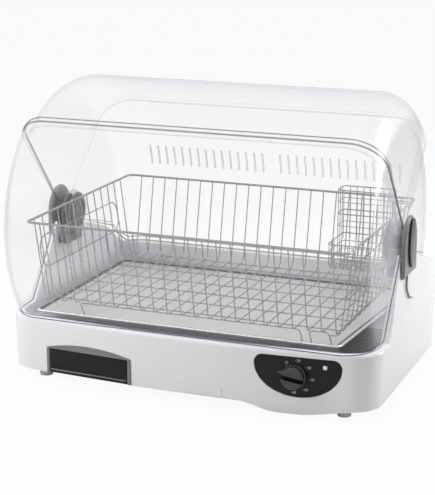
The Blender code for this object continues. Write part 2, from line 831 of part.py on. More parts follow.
def mouth_box(front, back):
    """The drawer's way through the front."""
    gap = SLIDE_GAP
    return (DRAWER_LEFT - gap, front, DRAWER_LOW - gap), (DRAWER_RIGHT + gap, back, DRAWER_HIGH + gap)


def lamp_box(front, back, gap):
    half = LAMP_SIDE / 2 + gap
    x = panel_x(LAMP_X)
    return (x - half, front, LAMP_Z - half), (x + half, back, LAMP_Z + half)


def cut_front(housing):
    """Openings and rebates of the bowed front: drawer, bezel, control panel, timer shaft and lamp."""
    cut(housing, box_mesh("drawer_mouth", *mouth_box(BASE_FRONT - OVERRUN, BASE_FRONT + 2 * MOUTH_DEPTH)))
    frame = bezel_frame()[0]
    back = BEZEL_LET_IN + TOUCH_GAP
    recess = prism_mesh("bezel_recess", bezel_outline(TOUCH_GAP), -MOUTH_DEPTH, back, "Y")
    cut(housing, framed(recess, frame))
    frame = panel_frame()[0]
    back = PANEL_WALL + TOUCH_GAP
    recess = prism_mesh("panel_recess", panel_outline(TOUCH_GAP), -MOUTH_DEPTH, back, "Y")
    cut(housing, framed(recess, frame))
    way = rod_mesh("timer_way", (panel_x(KNOB_X), -OVERRUN, KNOB_Z), MOUTH_DEPTH, SHAFT_R * 2, "Y", 12)
    cut(housing, framed(way, frame))
    back = LAMP_DEPTH + TOUCH_GAP
    cut(housing, framed(box_mesh("lamp_way", *lamp_box(-OVERRUN, back, TOUCH_GAP)), frame))
    low, high = lamp_box(LAMP_DEPTH / 2, LAMP_DEPTH, TOUCH_GAP / 2)
    low = (low[0], low[1], DECK_Z - HOUSING_WALL - OVERRUN)
    cut(housing, framed(box_mesh("lamp_wire_way", low, (high[0], high[1], LAMP_Z)), frame))
    frame = chord_frame(PAD_LEFT, PAD_RIGHT, PAD_LOW)[0]
    half = (PAD_RIGHT - PAD_LEFT) / 2
    pad = rounded_box((-half, PAD_LOW), (half, PAD_HIGH), PAD_CORNER, 2)
    fuse(housing, framed(prism_mesh("pad", pad, -2 * PAD_PROUD, BEZEL_LET_IN, "Y"), frame))


def drawer_front_y(x):
    """Where the flat front of the drawer stands at x."""
    frame = bezel_frame()[0]
    middle, lean = frame.translation, frame.to_euler().z
    return middle.y + (x - middle.x) * sin(lean) / cos(lean)


def runner_start_y():
    """Front ends of the drawer's runners, clear of the bezel at both of its ends."""
    return max(drawer_front_y(DRAWER_LEFT), drawer_front_y(DRAWER_RIGHT)) + RUNNER_SETBACK


def make_housing():
    """The white base moulding with its openings, screw bosses, drawer runners and tray ledges."""
    housing = add_object("base_housing", mesh_from("base_housing", build_housing), WHITE)
    cut_front(housing)
    cut(housing, box_mesh("air_outlet", *grille_box(DECK_Z - 2 * OVERRUN, DECK_Z + OVERRUN, -GRILLE_WALL)))
    drain = ((DRAWER_LEFT + DRAWER_RIGHT) / 2, DRAIN_Y, DECK_Z - 2 * OVERRUN)
    cut(housing, rod_mesh("drain_hole", drain, 3 * OVERRUN, BOSS_R, "Z", 12))
    gland_start = (GLAND_X, BASE_REAR - MOUTH_DEPTH, GLAND_Z)
    gland_r = GLAND_R + TOUCH_GAP
    cut(housing, rod_mesh("gland_hole", gland_start, 2 * MOUTH_DEPTH, gland_r, "Y", GLAND_SIDES))
    boss_low = BOTTOM_Z + BOTTOM_WALL + TOUCH_GAP
    for x, y in BOSSES:
        height = DECK_Z - HOUSING_WALL / 2 - boss_low
        fuse(housing, rod_mesh("boss", (x, y, boss_low), height, BOSS_R, "Z", 12))
    for x, y in BOSSES:
        cut(housing, rod_mesh("bore", (x, y, BOTTOM_Z), SCREW_LENGTH, SCREW_SHANK_R + TOUCH_GAP, "Z", 8))
    cover_in = hub_stack()[1] - TOUCH_GAP
    cover_out = BASE_HALF + OVERRUN
    for side in (-1, 1):
        rebate = prism_mesh("hub_rebate", hub_cover_outline(TOUCH_GAP), cover_in, cover_out, "X")
        cut(housing, mirrored(rebate, side))
    gap = SLIDE_GAP + RUNNER_WALL / 2
    for x in (DRAWER_LEFT - gap, DRAWER_RIGHT + gap):
        low = (x - RUNNER_WALL / 2, runner_start_y(), DRAWER_LOW)
        high = (x + RUNNER_WALL / 2, low[1] + DRAWER_DEPTH * RUNNER_SHARE, DECK_Z - HOUSING_WALL / 2)
        fuse(housing, box_mesh("runner", low, high))
    for low, high in tray_ledges():
        fuse(housing, box_mesh("ledge", low, high))
    return smooth(housing, HOUSING_SMOOTH_DEG)


def tray_ledges():
    """Four ribs on the basin floor that carry the drip tray."""
    top = TRAY_TOP_Z - TRAY_SHEET - TOUCH_GAP
    width = 2 * HOUSING_WALL
    margin = TRAY_HEM + HOUSING_WALL
    spots = []
    for side in (-1, 1):
        x = side * TRAY_HALF * TRAY_LEDGE_SHARE
        for y0, y1 in ((TRAY_FRONT + margin, TRAY_FRONT / 2), (TRAY_REAR / 2, TRAY_REAR - margin)):
            low = (x - width / 2, y0, DECK_Z - HOUSING_WALL / 2)
            spots.append((low, (x + width / 2, y1, top)))
    return spots


def make_bottom():
    """The plate that closes the base from below, with the fan's inlet slots."""
    shape = [(x, y) for x, y, _ in plan(HOUSING_WALL + DRAFT + TOUCH_GAP)]
    plate = prism_mesh("bottom_cover", shape, BOTTOM_Z, BOTTOM_Z + BOTTOM_WALL)
    cover = add_object("bottom_cover", plate, WHITE)
    low = BOTTOM_Z - OVERRUN
    for x in (DRAWER_LEFT + RAIL_INSET, DRAWER_RIGHT - RAIL_INSET):
        start = (x - RUNNER_WALL / 2, runner_start_y(), BOTTOM_Z + BOTTOM_WALL / 2)
        end = (x + RUNNER_WALL / 2, start[1] + DRAWER_DEPTH * RUNNER_SHARE, DRAWER_LOW - TOUCH_GAP)
        fuse(cover, box_mesh("rail", start, end))
    boolean_group(cover, vent_slots(low, low + 3 * OVERRUN), "DIFFERENCE")
    for x, y in BOSSES:
        cut(cover, rod_mesh("screw_way", (x, y, low), 3 * OVERRUN, SCREW_SHANK_R + TOUCH_GAP, "Z", 8))
    return smooth(cover)


def vent_slots(low, high):
    """Straight slots under the fan's eye, each as long as the round filter is there."""
    slots = []
    for i in range(-FILTER_BARS, FILTER_BARS + 1):
        y = i * FILTER_PITCH
        half_x = sqrt(FILTER_R**2 - y**2) - FILTER_EDGE
        near = (FAN_X - half_x, FAN_Y + y - FILTER_SLOT / 2, low)
        slots.append(box_mesh("vent", near, (FAN_X + half_x, FAN_Y + y + FILTER_SLOT / 2, high)))
    return slots


def make_feet():
    """Four short tapered feet."""
    top = BOTTOM_Z - TOUCH_GAP
    for name, x, y in (
        ("foot_front_left", -FOOT_X, FOOT_FRONT_Y),
        ("foot_front_right", FOOT_X, FOOT_FRONT_Y),
        ("foot_rear_left", -FOOT_X, FOOT_REAR_Y),
        ("foot_rear_right", FOOT_X, FOOT_REAR_Y),
    ):
        foot = add_object(name, rod_mesh(name, (0, 0, 0), top, FOOT_LOW_R, "Z", 20, FOOT_R), WHITE)
        foot.location = (x, y, 0)
        smooth(foot)


def make_screws():
    """The screws that hold the bottom cover to the housing's bosses."""
    for i, (x, y) in enumerate(BOSSES):
        name = f"bottom_screw_{i + 1}"
        head_top = BOTTOM_Z - TOUCH_GAP
        screw = add_object(name, rod_mesh(name, (0, 0, -SCREW_HEAD), SCREW_HEAD, SCREW_R, "Z", 12), METAL)
        length = SCREW_LENGTH - OVERRUN / 2
        fuse(screw, rod_mesh("shank", (0, 0, -SCREW_HEAD / 2), length, SCREW_SHANK_R, "Z", 8))
        screw.modifiers[0].object.location = (x, y, head_top)
        screw.location = (x, y, head_top)
        smooth(screw)


# The hood


def cover_profile(half, radius, inner=EAR_R * COVER_INNER_SHARE):
    """Half section of a cover, from the pivot out along the side wall and over the fillet."""
    points = [(half, inner), (half, radius - COVER_FILLET)]
    points += arc((half - COVER_FILLET, radius - COVER_FILLET), COVER_FILLET, 0, 90, FILLET_STEPS)[1:]
    return points


def swept_shell(name, half, radius, from_deg, to_deg, wall, steps=None):
    """A sector of a cover: its section turned about the pivot axis and given its wall inwards."""
    side = cover_profile(half, radius)
    section = side + [(-x, r) for x, r in reversed(side)]
    mesh = bpy.data.meshes.new(name)
    start = radians(from_deg)
    spots = [(x, -r * cos(start), r * sin(start)) for x, r in section]
    mesh.from_pydata(spots, [(i, i + 1) for i in range(len(spots) - 1)], [])
    shell = add_object(name, mesh, None, helper=True)
    turn = shell.modifiers.new("sweep", "SCREW")
    turn.axis = "X"
    turn.angle = -radians(to_deg - from_deg)
    count = steps or max(round((to_deg - from_deg) / SWEEP_STEP_DEG), 1)
    turn.steps = count
    turn.render_steps = count
    turn.use_merge_vertices = False
    turn.use_smooth_shade = True
    turn.use_normal_flip = True
    thick = shell.modifiers.new("wall", "SOLIDIFY")
    thick.thickness = wall
    thick.offset = -1
    thick.use_even_offset = True
    bpy.context.view_layer.update()
    made = evaluated_mesh(shell)
    bpy.data.objects.remove(shell, do_unlink=True)
    work = bmesh.new()
    work.from_mesh(made)
    outer = max(hypot(v.co.y, v.co.z) for v in work.verts)
    if outer > radius + wall / 2:
        raise ValueError("the wall grew outwards")
    work.free()
    return made


def lip_shell(name, half, radius, at_deg, towards):
    """A thicker band along a straight edge of a cover, proud on its outside and sunk into its wall."""
    span = degrees(LIP_WIDTH / radius) * towards
    beyond = -degrees(COVER_WALL / radius) / 3 * towards
    low, high = sorted((at_deg + beyond, at_deg + span))
    return band_shell(name, half, radius, low, high)


def band_shell(name, half, radius, low_deg, high_deg):
    """A thicker band of a cover between two angles."""
    wall = COVER_WALL / 2 + LIP_PROUD * LIP_SINK_SHARE
    return swept_shell(name, half + LIP_PROUD / 3, radius + LIP_PROUD, low_deg, high_deg, wall, 2)


def ear_mesh(name, half, side):
    """The round end of a cover that turns on the hub's pin."""
    middle = half - COVER_WALL / 2
    start = side * middle - EAR_WALL / 2
    return rod_mesh(name, (start, 0, 0), EAR_WALL, EAR_R, "X", 28)


def finish_cover(cover, half):
    """Add the two pivot ears, bore them for the pins and set the cover on the pivot axis."""
    for side in (-1, 1):
        fuse(cover, ear_mesh("ear", half, side))
    length = 2 * half + 4 * OVERRUN
    cut(cover, rod_mesh("pin_way", (-length / 2, 0, 0), length, PIN_R + RUNNING_GAP, "X", 24))
    for helper in [m.object for m in cover.modifiers if m.type == "BOOLEAN" and m.object]:
        helper.location = (0, PIVOT_Y, PIVOT_Z)
    for made in cover.modifiers:
        if made.type == "BOOLEAN" and made.operand_type == "COLLECTION":
            for helper in made.collection.objects:
                helper.location = (0, PIVOT_Y, PIVOT_Z)
    cover.location = (0, PIVOT_Y, PIVOT_Z)
    return smooth(cover, COVER_SMOOTH_DEG)


def below_seat():
    """Outline in (y, z) about the pivot of everything that the front cover leaves to the base."""
    rim = RIM_Z + TOUCH_GAP - PIVOT_Z
    seat_y = SEAT_START_Y - PIVOT_Y
    rise = 2 * EAR_R - rim
    run = rise / sin(radians(SEAT_SLOPE_DEG)) * cos(radians(SEAT_SLOPE_DEG))
    far = 2 * FRONT_R
    shift = TOUCH_GAP * 2
    seat = [(seat_y - shift + run, rim + rise), (seat_y - shift, rim)]
    return [(-far, -far), (far, -far), (far, rim + rise)] + seat + [(-far, rim)]


def make_front_cover():
    """The cover that closes the front, with its lip on top and its foot along the seat."""
    sweep = FRONT_SWEEP_FROM_DEG, FRONT_LIP_DEG
    shell = swept_shell("front_cover", FRONT_HALF, FRONT_R, *sweep, COVER_WALL)
    cover = add_object("front_cover", shell, CLEAR)
    fuse(cover, lip_shell("front_lip", FRONT_HALF, FRONT_R, FRONT_LIP_DEG, -1))
    foot_deg = -degrees(asin((PIVOT_Z - RIM_Z) / FRONT_R))
    band = foot_deg - FOOT_BAND_DEG, foot_deg + FOOT_BAND_DEG
    fuse(cover, band_shell("foot_band", FRONT_HALF, FRONT_R, *band))
    reach = FRONT_HALF + OVERRUN
    cut(cover, prism_mesh("seat_line", below_seat(), -reach, reach, "X"))
    return finish_cover(cover, FRONT_HALF)


def make_top_cover():
    """The cover over the top, with a lip along each edge."""
    shell = swept_shell("top_cover", TOP_HALF, TOP_R, TOP_FROM_DEG, TOP_TO_DEG, COVER_WALL)
    cover = add_object("top_cover", shell, CLEAR)
    fuse(cover, lip_shell("top_front_lip", TOP_HALF, TOP_R, TOP_FROM_DEG, 1))
    fuse(cover, lip_shell("top_rear_lip", TOP_HALF, TOP_R, TOP_TO_DEG, -1))
    return finish_cover(cover, TOP_HALF)


def rear_seat_outline():
    """Outline in (y, z) about the pivot of what lies under the rear cover's foot."""
    rear_z = REAR_RIM_Z + TOUCH_GAP - PIVOT_Z
    well_back = well_back_y()
    well_z = ear_well_z(well_back)
    back_y, back_z = CHEEK_BACK_Y - PIVOT_Y, CHEEK_BACK_Z - PIVOT_Z
    slope = (back_z - (well_z - PIVOT_Z)) / (back_y - (well_back - PIVOT_Y))
    lift = TOUCH_GAP * 2
    far = 2 * REAR_R
    start_y = -EAR_R
    start_z = back_z + slope * (start_y - back_y) + lift
    foot_y = BASE_REAR - BASE_CORNER_R - PIVOT_Y
    land_y = BASE_REAR - PIVOT_Y - RIM_LAND * REAR_LAND_SHARE
    seat = [(land_y, rear_z), (foot_y, back_z + lift), (start_y, start_z)]
    return [(-far, -far), (far, -far), (far, rear_z)] + seat + [(-far, start_z)]


def slot_meshes():
    """Cutters for the exhaust slots, radial about the pivot axis."""
    meshes = []
    middle = radians((SLOT_LOW_DEG + SLOT_HIGH_DEG) / 2)
    length = REAR_R * radians(SLOT_LOW_DEG - SLOT_HIGH_DEG)
    for side in (-1, 1):
        for i in range(SLOT_COUNT):
            x = side * (SLOT_FIRST_X + i * SLOT_PITCH)
            half = SLOT_WIDTH / 2
            low = (x - half, REAR_R - 2 * OVERRUN, -length / 2)
            mesh = box_mesh("slot", low, (x + half, REAR_R + OVERRUN, length / 2))
            mesh.transform(Matrix.Rotation(pi - middle, 4, "X"))
            meshes.append(mesh)
    return meshes


def make_rear_cover():
    """The fixed cover at the rear, with the exhaust slots."""
    sweep = REAR_FROM_DEG, REAR_SWEEP_TO_DEG
    shell = swept_shell("rear_cover", REAR_HALF, REAR_R, *sweep, COVER_WALL)
    cover = add_object("rear_cover", shell, CLEAR)
    fuse(cover, lip_shell("rear_front_lip", REAR_HALF, REAR_R, REAR_FROM_DEG, 1))
    reach = REAR_HALF + OVERRUN
    cut(cover, prism_mesh("rear_seat", rear_seat_outline(), -reach, reach, "X"))
    boolean_group(cover, slot_meshes(), "DIFFERENCE")
    return finish_cover(cover, REAR_HALF)


# The hubs


def hub_stack():
    """x of the faces in one hub, from the inside out: bracket, covers and outer cover."""
    bracket_out = REAR_HALF - COVER_WALL / 2 - EAR_WALL / 2 - RUNNING_GAP
    cover_in = FRONT_HALF - COVER_WALL / 2 + EAR_WALL / 2 + RUNNING_GAP
    return bracket_out, cover_in


def arch_outline(half, rise, drop, steps=10):
    """An arch about the pivot: round head, straight flanks and a flat foot."""
    turns = [pi * i / steps for i in range(steps + 1)]
    head = [(PIVOT_Y + half * cos(t), PIVOT_Z + rise * sin(t)) for t in turns]
    return head + [(PIVOT_Y - half, PIVOT_Z - drop), (PIVOT_Y + half, PIVOT_Z - drop)]


def hub_cover_outline(grow=0.0):
    return arch_outline(HUB_COVER_HALF_Y + grow, HUB_COVER_RISE + grow, HUB_COVER_DROP + grow)


def tail_x(z):
    """x of the tail's middle: its back just clear of the leaning cheek."""
    return BASE_HALF - outer_inset(RIM_Z, z) + TAIL_WIRE / 2 + TOUCH_GAP


def mirrored(mesh, side):
    """The mesh itself at the right, or its mirror image at the left."""
    if side < 0:
        mesh.transform(Matrix.Diagonal((-1, 1, 1, 1)))
        mesh.flip_normals()
    return mesh


def make_hub(side, word):
    """One hub: inner bracket, pin, ring disc, outer cover with its tail, and badge."""
    bracket_out, cover_in = hub_stack()
    cheek_in = BASE_HALF - RIM_LAND - TOUCH_GAP
    foot_top = PIVOT_Z - EAR_WELL_R - TOUCH_GAP
    arch = arch_outline(BRACKET_HALF_Y, BRACKET_HALF_Y, BRACKET_DROP)
    head = prism_mesh("arch", arch, bracket_out - BRACKET_WALL, bracket_out, "X")
    bracket = add_object(f"hub_bracket_{word}", mirrored(head, side), GREY)
    foot_low = PIVOT_Z - BRACKET_DROP
    foot = box_mesh(
        "foot",
        (bracket_out - BRACKET_WALL / 2, PIVOT_Y - BRACKET_FOOT_HALF, foot_low - BRACKET_WALL),
        (cheek_in, PIVOT_Y + BRACKET_FOOT_HALF, foot_top - TOUCH_GAP),
    )
    fuse(bracket, mirrored(foot, side))
    bore_start = (bracket_out - 2 * BRACKET_WALL, PIVOT_Y, PIVOT_Z)
    way = rod_mesh("pin_bore", bore_start, 3 * BRACKET_WALL, PIN_R + TOUCH_GAP, "X")
    cut(bracket, mirrored(way, side))
    smooth(bracket)

    pin_start = bracket_out - BRACKET_WALL - TOUCH_GAP
    pin_end = cover_in + HUB_COVER_WALL / 2
    pin = add_object(
        f"pivot_pin_{word}",
        mirrored(rod_mesh("pin", (pin_start, PIVOT_Y, PIVOT_Z), pin_end - pin_start, PIN_R, "X"), side),
        GREY,
    )
    smooth(pin)

    disc_out = pin_start - TOUCH_GAP
    disc_in = disc_out - DISC_WALL
    plate = rod_mesh("disc", (disc_in, PIVOT_Y, PIVOT_Z), DISC_WALL, DISC_R, "X", 24)
    disc = add_object(f"hub_disc_{word}", mirrored(plate, side), GREY)
    ring_r = DISC_R - DISC_RING_STEP
    groove = rod_mesh("groove", (disc_in - OVERRUN, PIVOT_Y, PIVOT_Z), OVERRUN + DISC_GROOVE, ring_r, "X")
    ring = add_object(f"groove_{word}", mirrored(groove, side), None, helper=True)
    core_start = (disc_in - 2 * OVERRUN, PIVOT_Y, PIVOT_Z)
    core = rod_mesh("core", core_start, 4 * OVERRUN, ring_r - DISC_RING_STEP / 2, "X")
    cut(ring, mirrored(core, side))
    made = disc.modifiers.new("groove", "BOOLEAN")
    made.operation = "DIFFERENCE"
    made.object = ring
    smooth(disc)

    shell = prism_mesh("outer", hub_cover_outline(), cover_in, cover_in + HUB_COVER_WALL, "X")
    outer = add_object(f"hub_cover_{word}", mirrored(shell, side), GREY)
    bevel(outer, HUB_COVER_ROUND, 1, PLATE_BEVEL_DEG)
    depth = OVERRUN + HUB_COVER_WALL / 2 + TOUCH_GAP
    seat_start = (cover_in - OVERRUN, PIVOT_Y, PIVOT_Z)
    bore = rod_mesh("pin_seat", seat_start, depth, PIN_R + TOUCH_GAP, "X")
    cut(outer, mirrored(bore, side))
    tail = [(tail_x(z), y, z) for y, z in TAIL_PATH]
    fuse(outer, mirrored(wire_mesh("tail", bent(tail, TAIL_BEND, 3), TAIL_WIRE), side))
    smooth(outer)

    badge_in = cover_in + HUB_COVER_WALL + TOUCH_GAP
    turns = [2 * pi * i / BADGE_SIDES for i in range(BADGE_SIDES)]
    oval = [(PIVOT_Y + BADGE_HALF_Y * cos(t), PIVOT_Z + BADGE_HALF_Z * sin(t)) for t in turns]
    plate = prism_mesh("oval", oval, badge_in, badge_in + BADGE_WALL, "X")
    badge = add_object(f"hub_badge_{word}", mirrored(plate, side), BLACK)
    bevel(badge, BADGE_WALL / 3, 1, PLATE_BEVEL_DEG)
    smooth(badge)


# Drip tray


def tray_outline(inset=0.0):
    """Plan of the drip tray, with its front right corner cut back over the air outlet."""
    left, right = -TRAY_HALF + inset, TRAY_HALF - inset
    front, rear = TRAY_FRONT + inset, TRAY_REAR - inset
    r = TRAY_CORNER
    points = arc((left + r, front + r), r, 180, 270, 3)
    points += [(right - TRAY_CUT, front), (right, front + TRAY_CUT * TRAY_CUT_SLANT_SHARE)]
    points += arc((right - r, rear - r), r, 0, 90, 3)
    points += arc((left + r, rear - r), r, 90, 180, 3)
    return points


def make_tray():
    """The stainless plate: a sheet with its edge folded down and a row of drain holes."""
    low = TRAY_TOP_Z - TRAY_SHEET
    tray = add_object("drip_tray", prism_mesh("drip_tray", tray_outline(), low, TRAY_TOP_Z), STEEL)
    hem = prism_mesh("hem", tray_outline(), low - TRAY_HEM, TRAY_TOP_Z - TRAY_SHEET / 2)
    ring = add_object("tray_hem", hem, None, helper=True)
    cut(ring, prism_mesh("hem_inside", tray_outline(1.5 * TRAY_SHEET), low - 2 * TRAY_HEM, low + TRAY_HEM))
    made = tray.modifiers.new("hem", "BOOLEAN")
    made.operation = "UNION"
    made.object = ring
    step_x = 2 * TRAY_HALF / TRAY_HOLES
    holes = []
    for i in range(TRAY_HOLES):
        spot = ((i + 1 / 2) * step_x - TRAY_HALF, TRAY_FRONT + 2 * TRAY_CORNER, low - OVERRUN)
        holes.append(rod_mesh("drain", spot, 3 * OVERRUN, TRAY_HOLE_R, "Z", 8))
    boolean_group(tray, holes, "DIFFERENCE")
    return smooth(tray)


# Water drawer


def drawer_plan(inset):
    """Plan of the drawer, its front parallel to the bezel."""
    left, right = DRAWER_LEFT + inset, DRAWER_RIGHT - inset
    rear = BASE_FRONT + DRAWER_DEPTH - inset
    front_left = (left, drawer_front_y(left) + 2 * inset)
    front_right = (right, drawer_front_y(right) + 2 * inset)
    return [front_left, front_right, (right, rear), (left, rear)]


def make_drawer():
    """The drawer that catches the drained water, with a shallow pull on its front."""
    body = prism_mesh("water_drawer", drawer_plan(0.0), DRAWER_LOW, DRAWER_HIGH)
    drawer = add_object("water_drawer", body, BLACK)
    floor = DRAWER_LOW + DRAWER_WALL
    cut(drawer, prism_mesh("basin", drawer_plan(DRAWER_WALL), floor, DRAWER_HIGH + OVERRUN))
    frame = bezel_frame()[0]
    half = (DRAWER_RIGHT - DRAWER_LEFT) / 2 - DRAWER_WALL
    pull_low = (-half, -DRAWER_PULL, DRAWER_LOW + TOUCH_GAP)
    pull = box_mesh("pull", pull_low, (half, DRAWER_WALL / 2, floor - TOUCH_GAP))
    fuse(drawer, framed(pull, frame))
    return smooth(drawer)


def make_bezel():
    """The grey frame round the drawer's mouth."""
    frame = bezel_frame()[0]
    plate = prism_mesh("drawer_bezel", bezel_outline(), -BEZEL_PROUD, BEZEL_LET_IN, "Y")
    bezel = add_object("drawer_bezel", framed(plate, frame), GREY)
    cut(bezel, box_mesh("window", *mouth_box(BASE_FRONT - OVERRUN, BASE_FRONT + 2 * MOUTH_DEPTH)))
    return smooth(bezel)


# Control panel


def make_panel():
    """The black half-moon panel and the lamp set into it."""
    frame = panel_frame()[0]
    plate = framed(prism_mesh("control_panel", panel_outline(), 0, PANEL_WALL, "Y"), frame)
    panel = add_object("control_panel", plate, BLACK)
    x = panel_x(KNOB_X)
    way = rod_mesh("shaft_way", (x, -OVERRUN, KNOB_Z), 3 * OVERRUN, SHAFT_R + RUNNING_GAP, "Y", 12)
    cut(panel, framed(way, frame))
    cut(panel, framed(box_mesh("lamp_way", *lamp_box(-OVERRUN, 2 * OVERRUN, TOUCH_GAP)), frame))
    smooth(panel)
    lens = framed(box_mesh("pilot_lamp", *lamp_box(-LAMP_PROUD, LAMP_DEPTH, 0)), frame)
    bevel(add_object("pilot_lamp", lens, LAMP), LAMP_SIDE / 8, 1)


def make_knob():
    """The timer knob, its pointer at the off mark, turning on an axis square to the panel."""
    frame = panel_frame()[0]
    skirt = rod_mesh("timer_knob", (0, -KNOB_SKIRT, 0), KNOB_SKIRT, KNOB_R, "Y", 32)
    knob = add_object("timer_knob", skirt, GREY)
    length = KNOB_DEPTH - KNOB_SKIRT / 2
    fuse(knob, rod_mesh("body", (0, -KNOB_DEPTH, 0), length, KNOB_FACE_R, "Y", 32, KNOB_BODY_R))
    for side in (-1, 1):
        low_z, high_z = sorted((side * KNOB_GRIP_HALF, side * 2 * KNOB_R))
        near = (-2 * KNOB_R, -KNOB_DEPTH - OVERRUN, low_z)
        cut(knob, box_mesh("scoop", near, (2 * KNOB_R, -KNOB_SHOULDER, high_z)))
    seat = rod_mesh("shaft_seat", (0, -KNOB_DEPTH / 2, 0), KNOB_DEPTH, SHAFT_R + TOUCH_GAP, "Y", 12)
    cut(knob, seat)
    place = frame @ Vector((panel_x(KNOB_X), -RUNNING_GAP, KNOB_Z))
    for item in [m.object for m in knob.modifiers] + [knob]:
        item.location = place
        item.rotation_euler = (0, -radians(KNOB_OFF_DEG), frame.to_euler().z)
    smooth(knob)


def make_timer():
    """The clockwork timer behind the front, and the shaft that carries the knob."""
    frame, depth = panel_frame()
    x = panel_x(KNOB_X)
    reach = TIMER_R * TIMER_EAR_SHARE
    front = inner_skin(depth, abs(x) + reach) + RUNNING_GAP
    low = (x - TIMER_R, front, KNOB_Z - TIMER_HALF_Z)
    body = box_mesh("timer_unit", low, (x + TIMER_R, front + TIMER_DEPTH, KNOB_Z + TIMER_HALF_Z))
    timer = add_object("timer_unit", framed(body, frame), METAL)
    ears = box_mesh(
        "ears",
        (x - reach, front + TOUCH_GAP, KNOB_Z - TIMER_HALF_Z / 2),
        (x + reach, front + PANEL_WALL, KNOB_Z + TIMER_HALF_Z / 2),
    )
    fuse(timer, framed(ears, frame))
    depth = OVERRUN + TIMER_DEPTH / 2
    hole = rod_mesh("shaft_hole", (x, front - OVERRUN, KNOB_Z), depth, SHAFT_R + RUNNING_GAP, "Y", 12)
    cut(timer, framed(hole, frame))
    smooth(timer)
    start = -RUNNING_GAP - KNOB_DEPTH / 2 + TOUCH_GAP
    end = front + TIMER_DEPTH / 2 - TOUCH_GAP
    rod = rod_mesh("timer_shaft", (x, start, KNOB_Z), end - start, SHAFT_R, "Y", 12)
    smooth(add_object("timer_shaft", framed(rod, frame), METAL))


# Blower, heater and electrics


def impeller_heights():
    top = DECK_Z - HOUSING_WALL - SCROLL_WALL - SCROLL_GAP
    return top - IMPELLER_HEIGHT, top


def scroll_outline(grow=0.0):
    """The spiral wall: it opens by SCROLL_GROWTH over one turn and ends in a straight outlet."""
    points = []
    for i in range(SCROLL_STEPS + 1):
        share = i / SCROLL_STEPS
        t = radians(SCROLL_FROM_DEG + SCROLL_TURN_DEG * share)
        r = IMPELLER_R + SCROLL_GAP + SCROLL_GROWTH * share + grow
        points.append((FAN_X + r * cos(t), FAN_Y + r * sin(t)))
    last = IMPELLER_R + SCROLL_GAP + SCROLL_GROWTH + grow
    outlet_y = HEATER_Y + HEATER_HALF_Y + TOUCH_GAP
    mouth_y = outlet_y - (grow < SCROLL_WALL) * OVERRUN
    half_x = HEATER_HALF_X - SCROLL_WALL + grow
    points.append((HEATER_X - half_x, mouth_y))
    points.append((HEATER_X + half_x, mouth_y))
    points.append((HEATER_X + half_x, FAN_Y - last / 3))
    return points


def make_blower():
    """The scroll, the impeller, its motor and their shaft."""
    low, high = impeller_heights()
    scroll_top = DECK_Z - HOUSING_WALL - TOUCH_GAP
    scroll_low = scroll_top - SCROLL_HEIGHT - SCROLL_WALL
    block = prism_mesh("blower_scroll", scroll_outline(SCROLL_WALL), scroll_low, scroll_top)
    scroll = add_object("blower_scroll", block, GREY)
    cut(scroll, prism_mesh("air_way", scroll_outline(), scroll_low + SCROLL_WALL, scroll_top + OVERRUN))
    cut(scroll, rod_mesh("eye", (FAN_X, FAN_Y, scroll_low - OVERRUN), 3 * OVERRUN, EYE_R, "Z", 32))
    smooth(scroll)

    hub_r = FAN_SHAFT_R * 3
    plate = rod_mesh("fan_impeller", (0, 0, IMPELLER_HEIGHT - BLADE_WALL), BLADE_WALL, IMPELLER_R, "Z", 24)
    impeller = add_object("fan_impeller", plate, BLACK)
    pieces = [rod_mesh("fan_hub", (0, 0, 0), IMPELLER_HEIGHT - BLADE_WALL / 2, hub_r, "Z", 20)]
    for i in range(IMPELLER_BLADES):
        turn = 2 * pi * i / IMPELLER_BLADES
        blade_low = (IMPELLER_R - BLADE_DEPTH, -BLADE_WALL / 2, 0)
        blade_high = (IMPELLER_R - BLADE_WALL, BLADE_WALL / 2, IMPELLER_HEIGHT - BLADE_WALL / 2)
        blade = box_mesh("blade", blade_low, blade_high)
        blade.transform(Matrix.Rotation(turn, 4, "Z") @ Matrix.Translation((BLADE_WALL, 0, 0)))
        pieces.append(blade)
    boolean_group(impeller, pieces, "UNION")
    seat_r = FAN_SHAFT_R + TOUCH_GAP
    cut(impeller, rod_mesh("shaft_seat", (0, 0, -OVERRUN), OVERRUN + IMPELLER_HEIGHT / 2, seat_r, "Z", 12))
    for item in list(impeller.modifiers[0].collection.objects) + [impeller.modifiers[1].object, impeller]:
        item.location = (FAN_X, FAN_Y, low)
    smooth(impeller)

    motor_low = BOTTOM_Z + BOTTOM_WALL + TOUCH_GAP
    motor_top = motor_low + MOTOR_HEIGHT
    can = rod_mesh("fan_motor", (FAN_X, FAN_Y, motor_low), MOTOR_HEIGHT, MOTOR_R * MOTOR_CAN_SHARE, "Z", 28)
    motor = add_object("fan_motor", can, METAL)
    core = box_mesh(
        "laminations",
        (FAN_X - MOTOR_R, FAN_Y - MOTOR_R, motor_low),
        (FAN_X + MOTOR_R, FAN_Y + MOTOR_R, motor_low + MOTOR_HEIGHT * MOTOR_CORE_SHARE),
    )
    fuse(motor, core)
    bearing = (FAN_X, FAN_Y, motor_top - MOTOR_HEIGHT / 2)
    cut(motor, rod_mesh("bearing", bearing, MOTOR_HEIGHT, FAN_SHAFT_R + RUNNING_GAP, "Z", 12))
    smooth(motor)
    shaft_low = motor_top - MOTOR_HEIGHT / 2 + TOUCH_GAP
    shaft_top = low + IMPELLER_HEIGHT / 2 - TOUCH_GAP
    rod = rod_mesh("fan_shaft", (FAN_X, FAN_Y, shaft_low), shaft_top - shaft_low, FAN_SHAFT_R, "Z", 12)
    shaft = add_object("fan_shaft", rod, METAL)
    smooth(shaft)
    return scroll_low, scroll_top


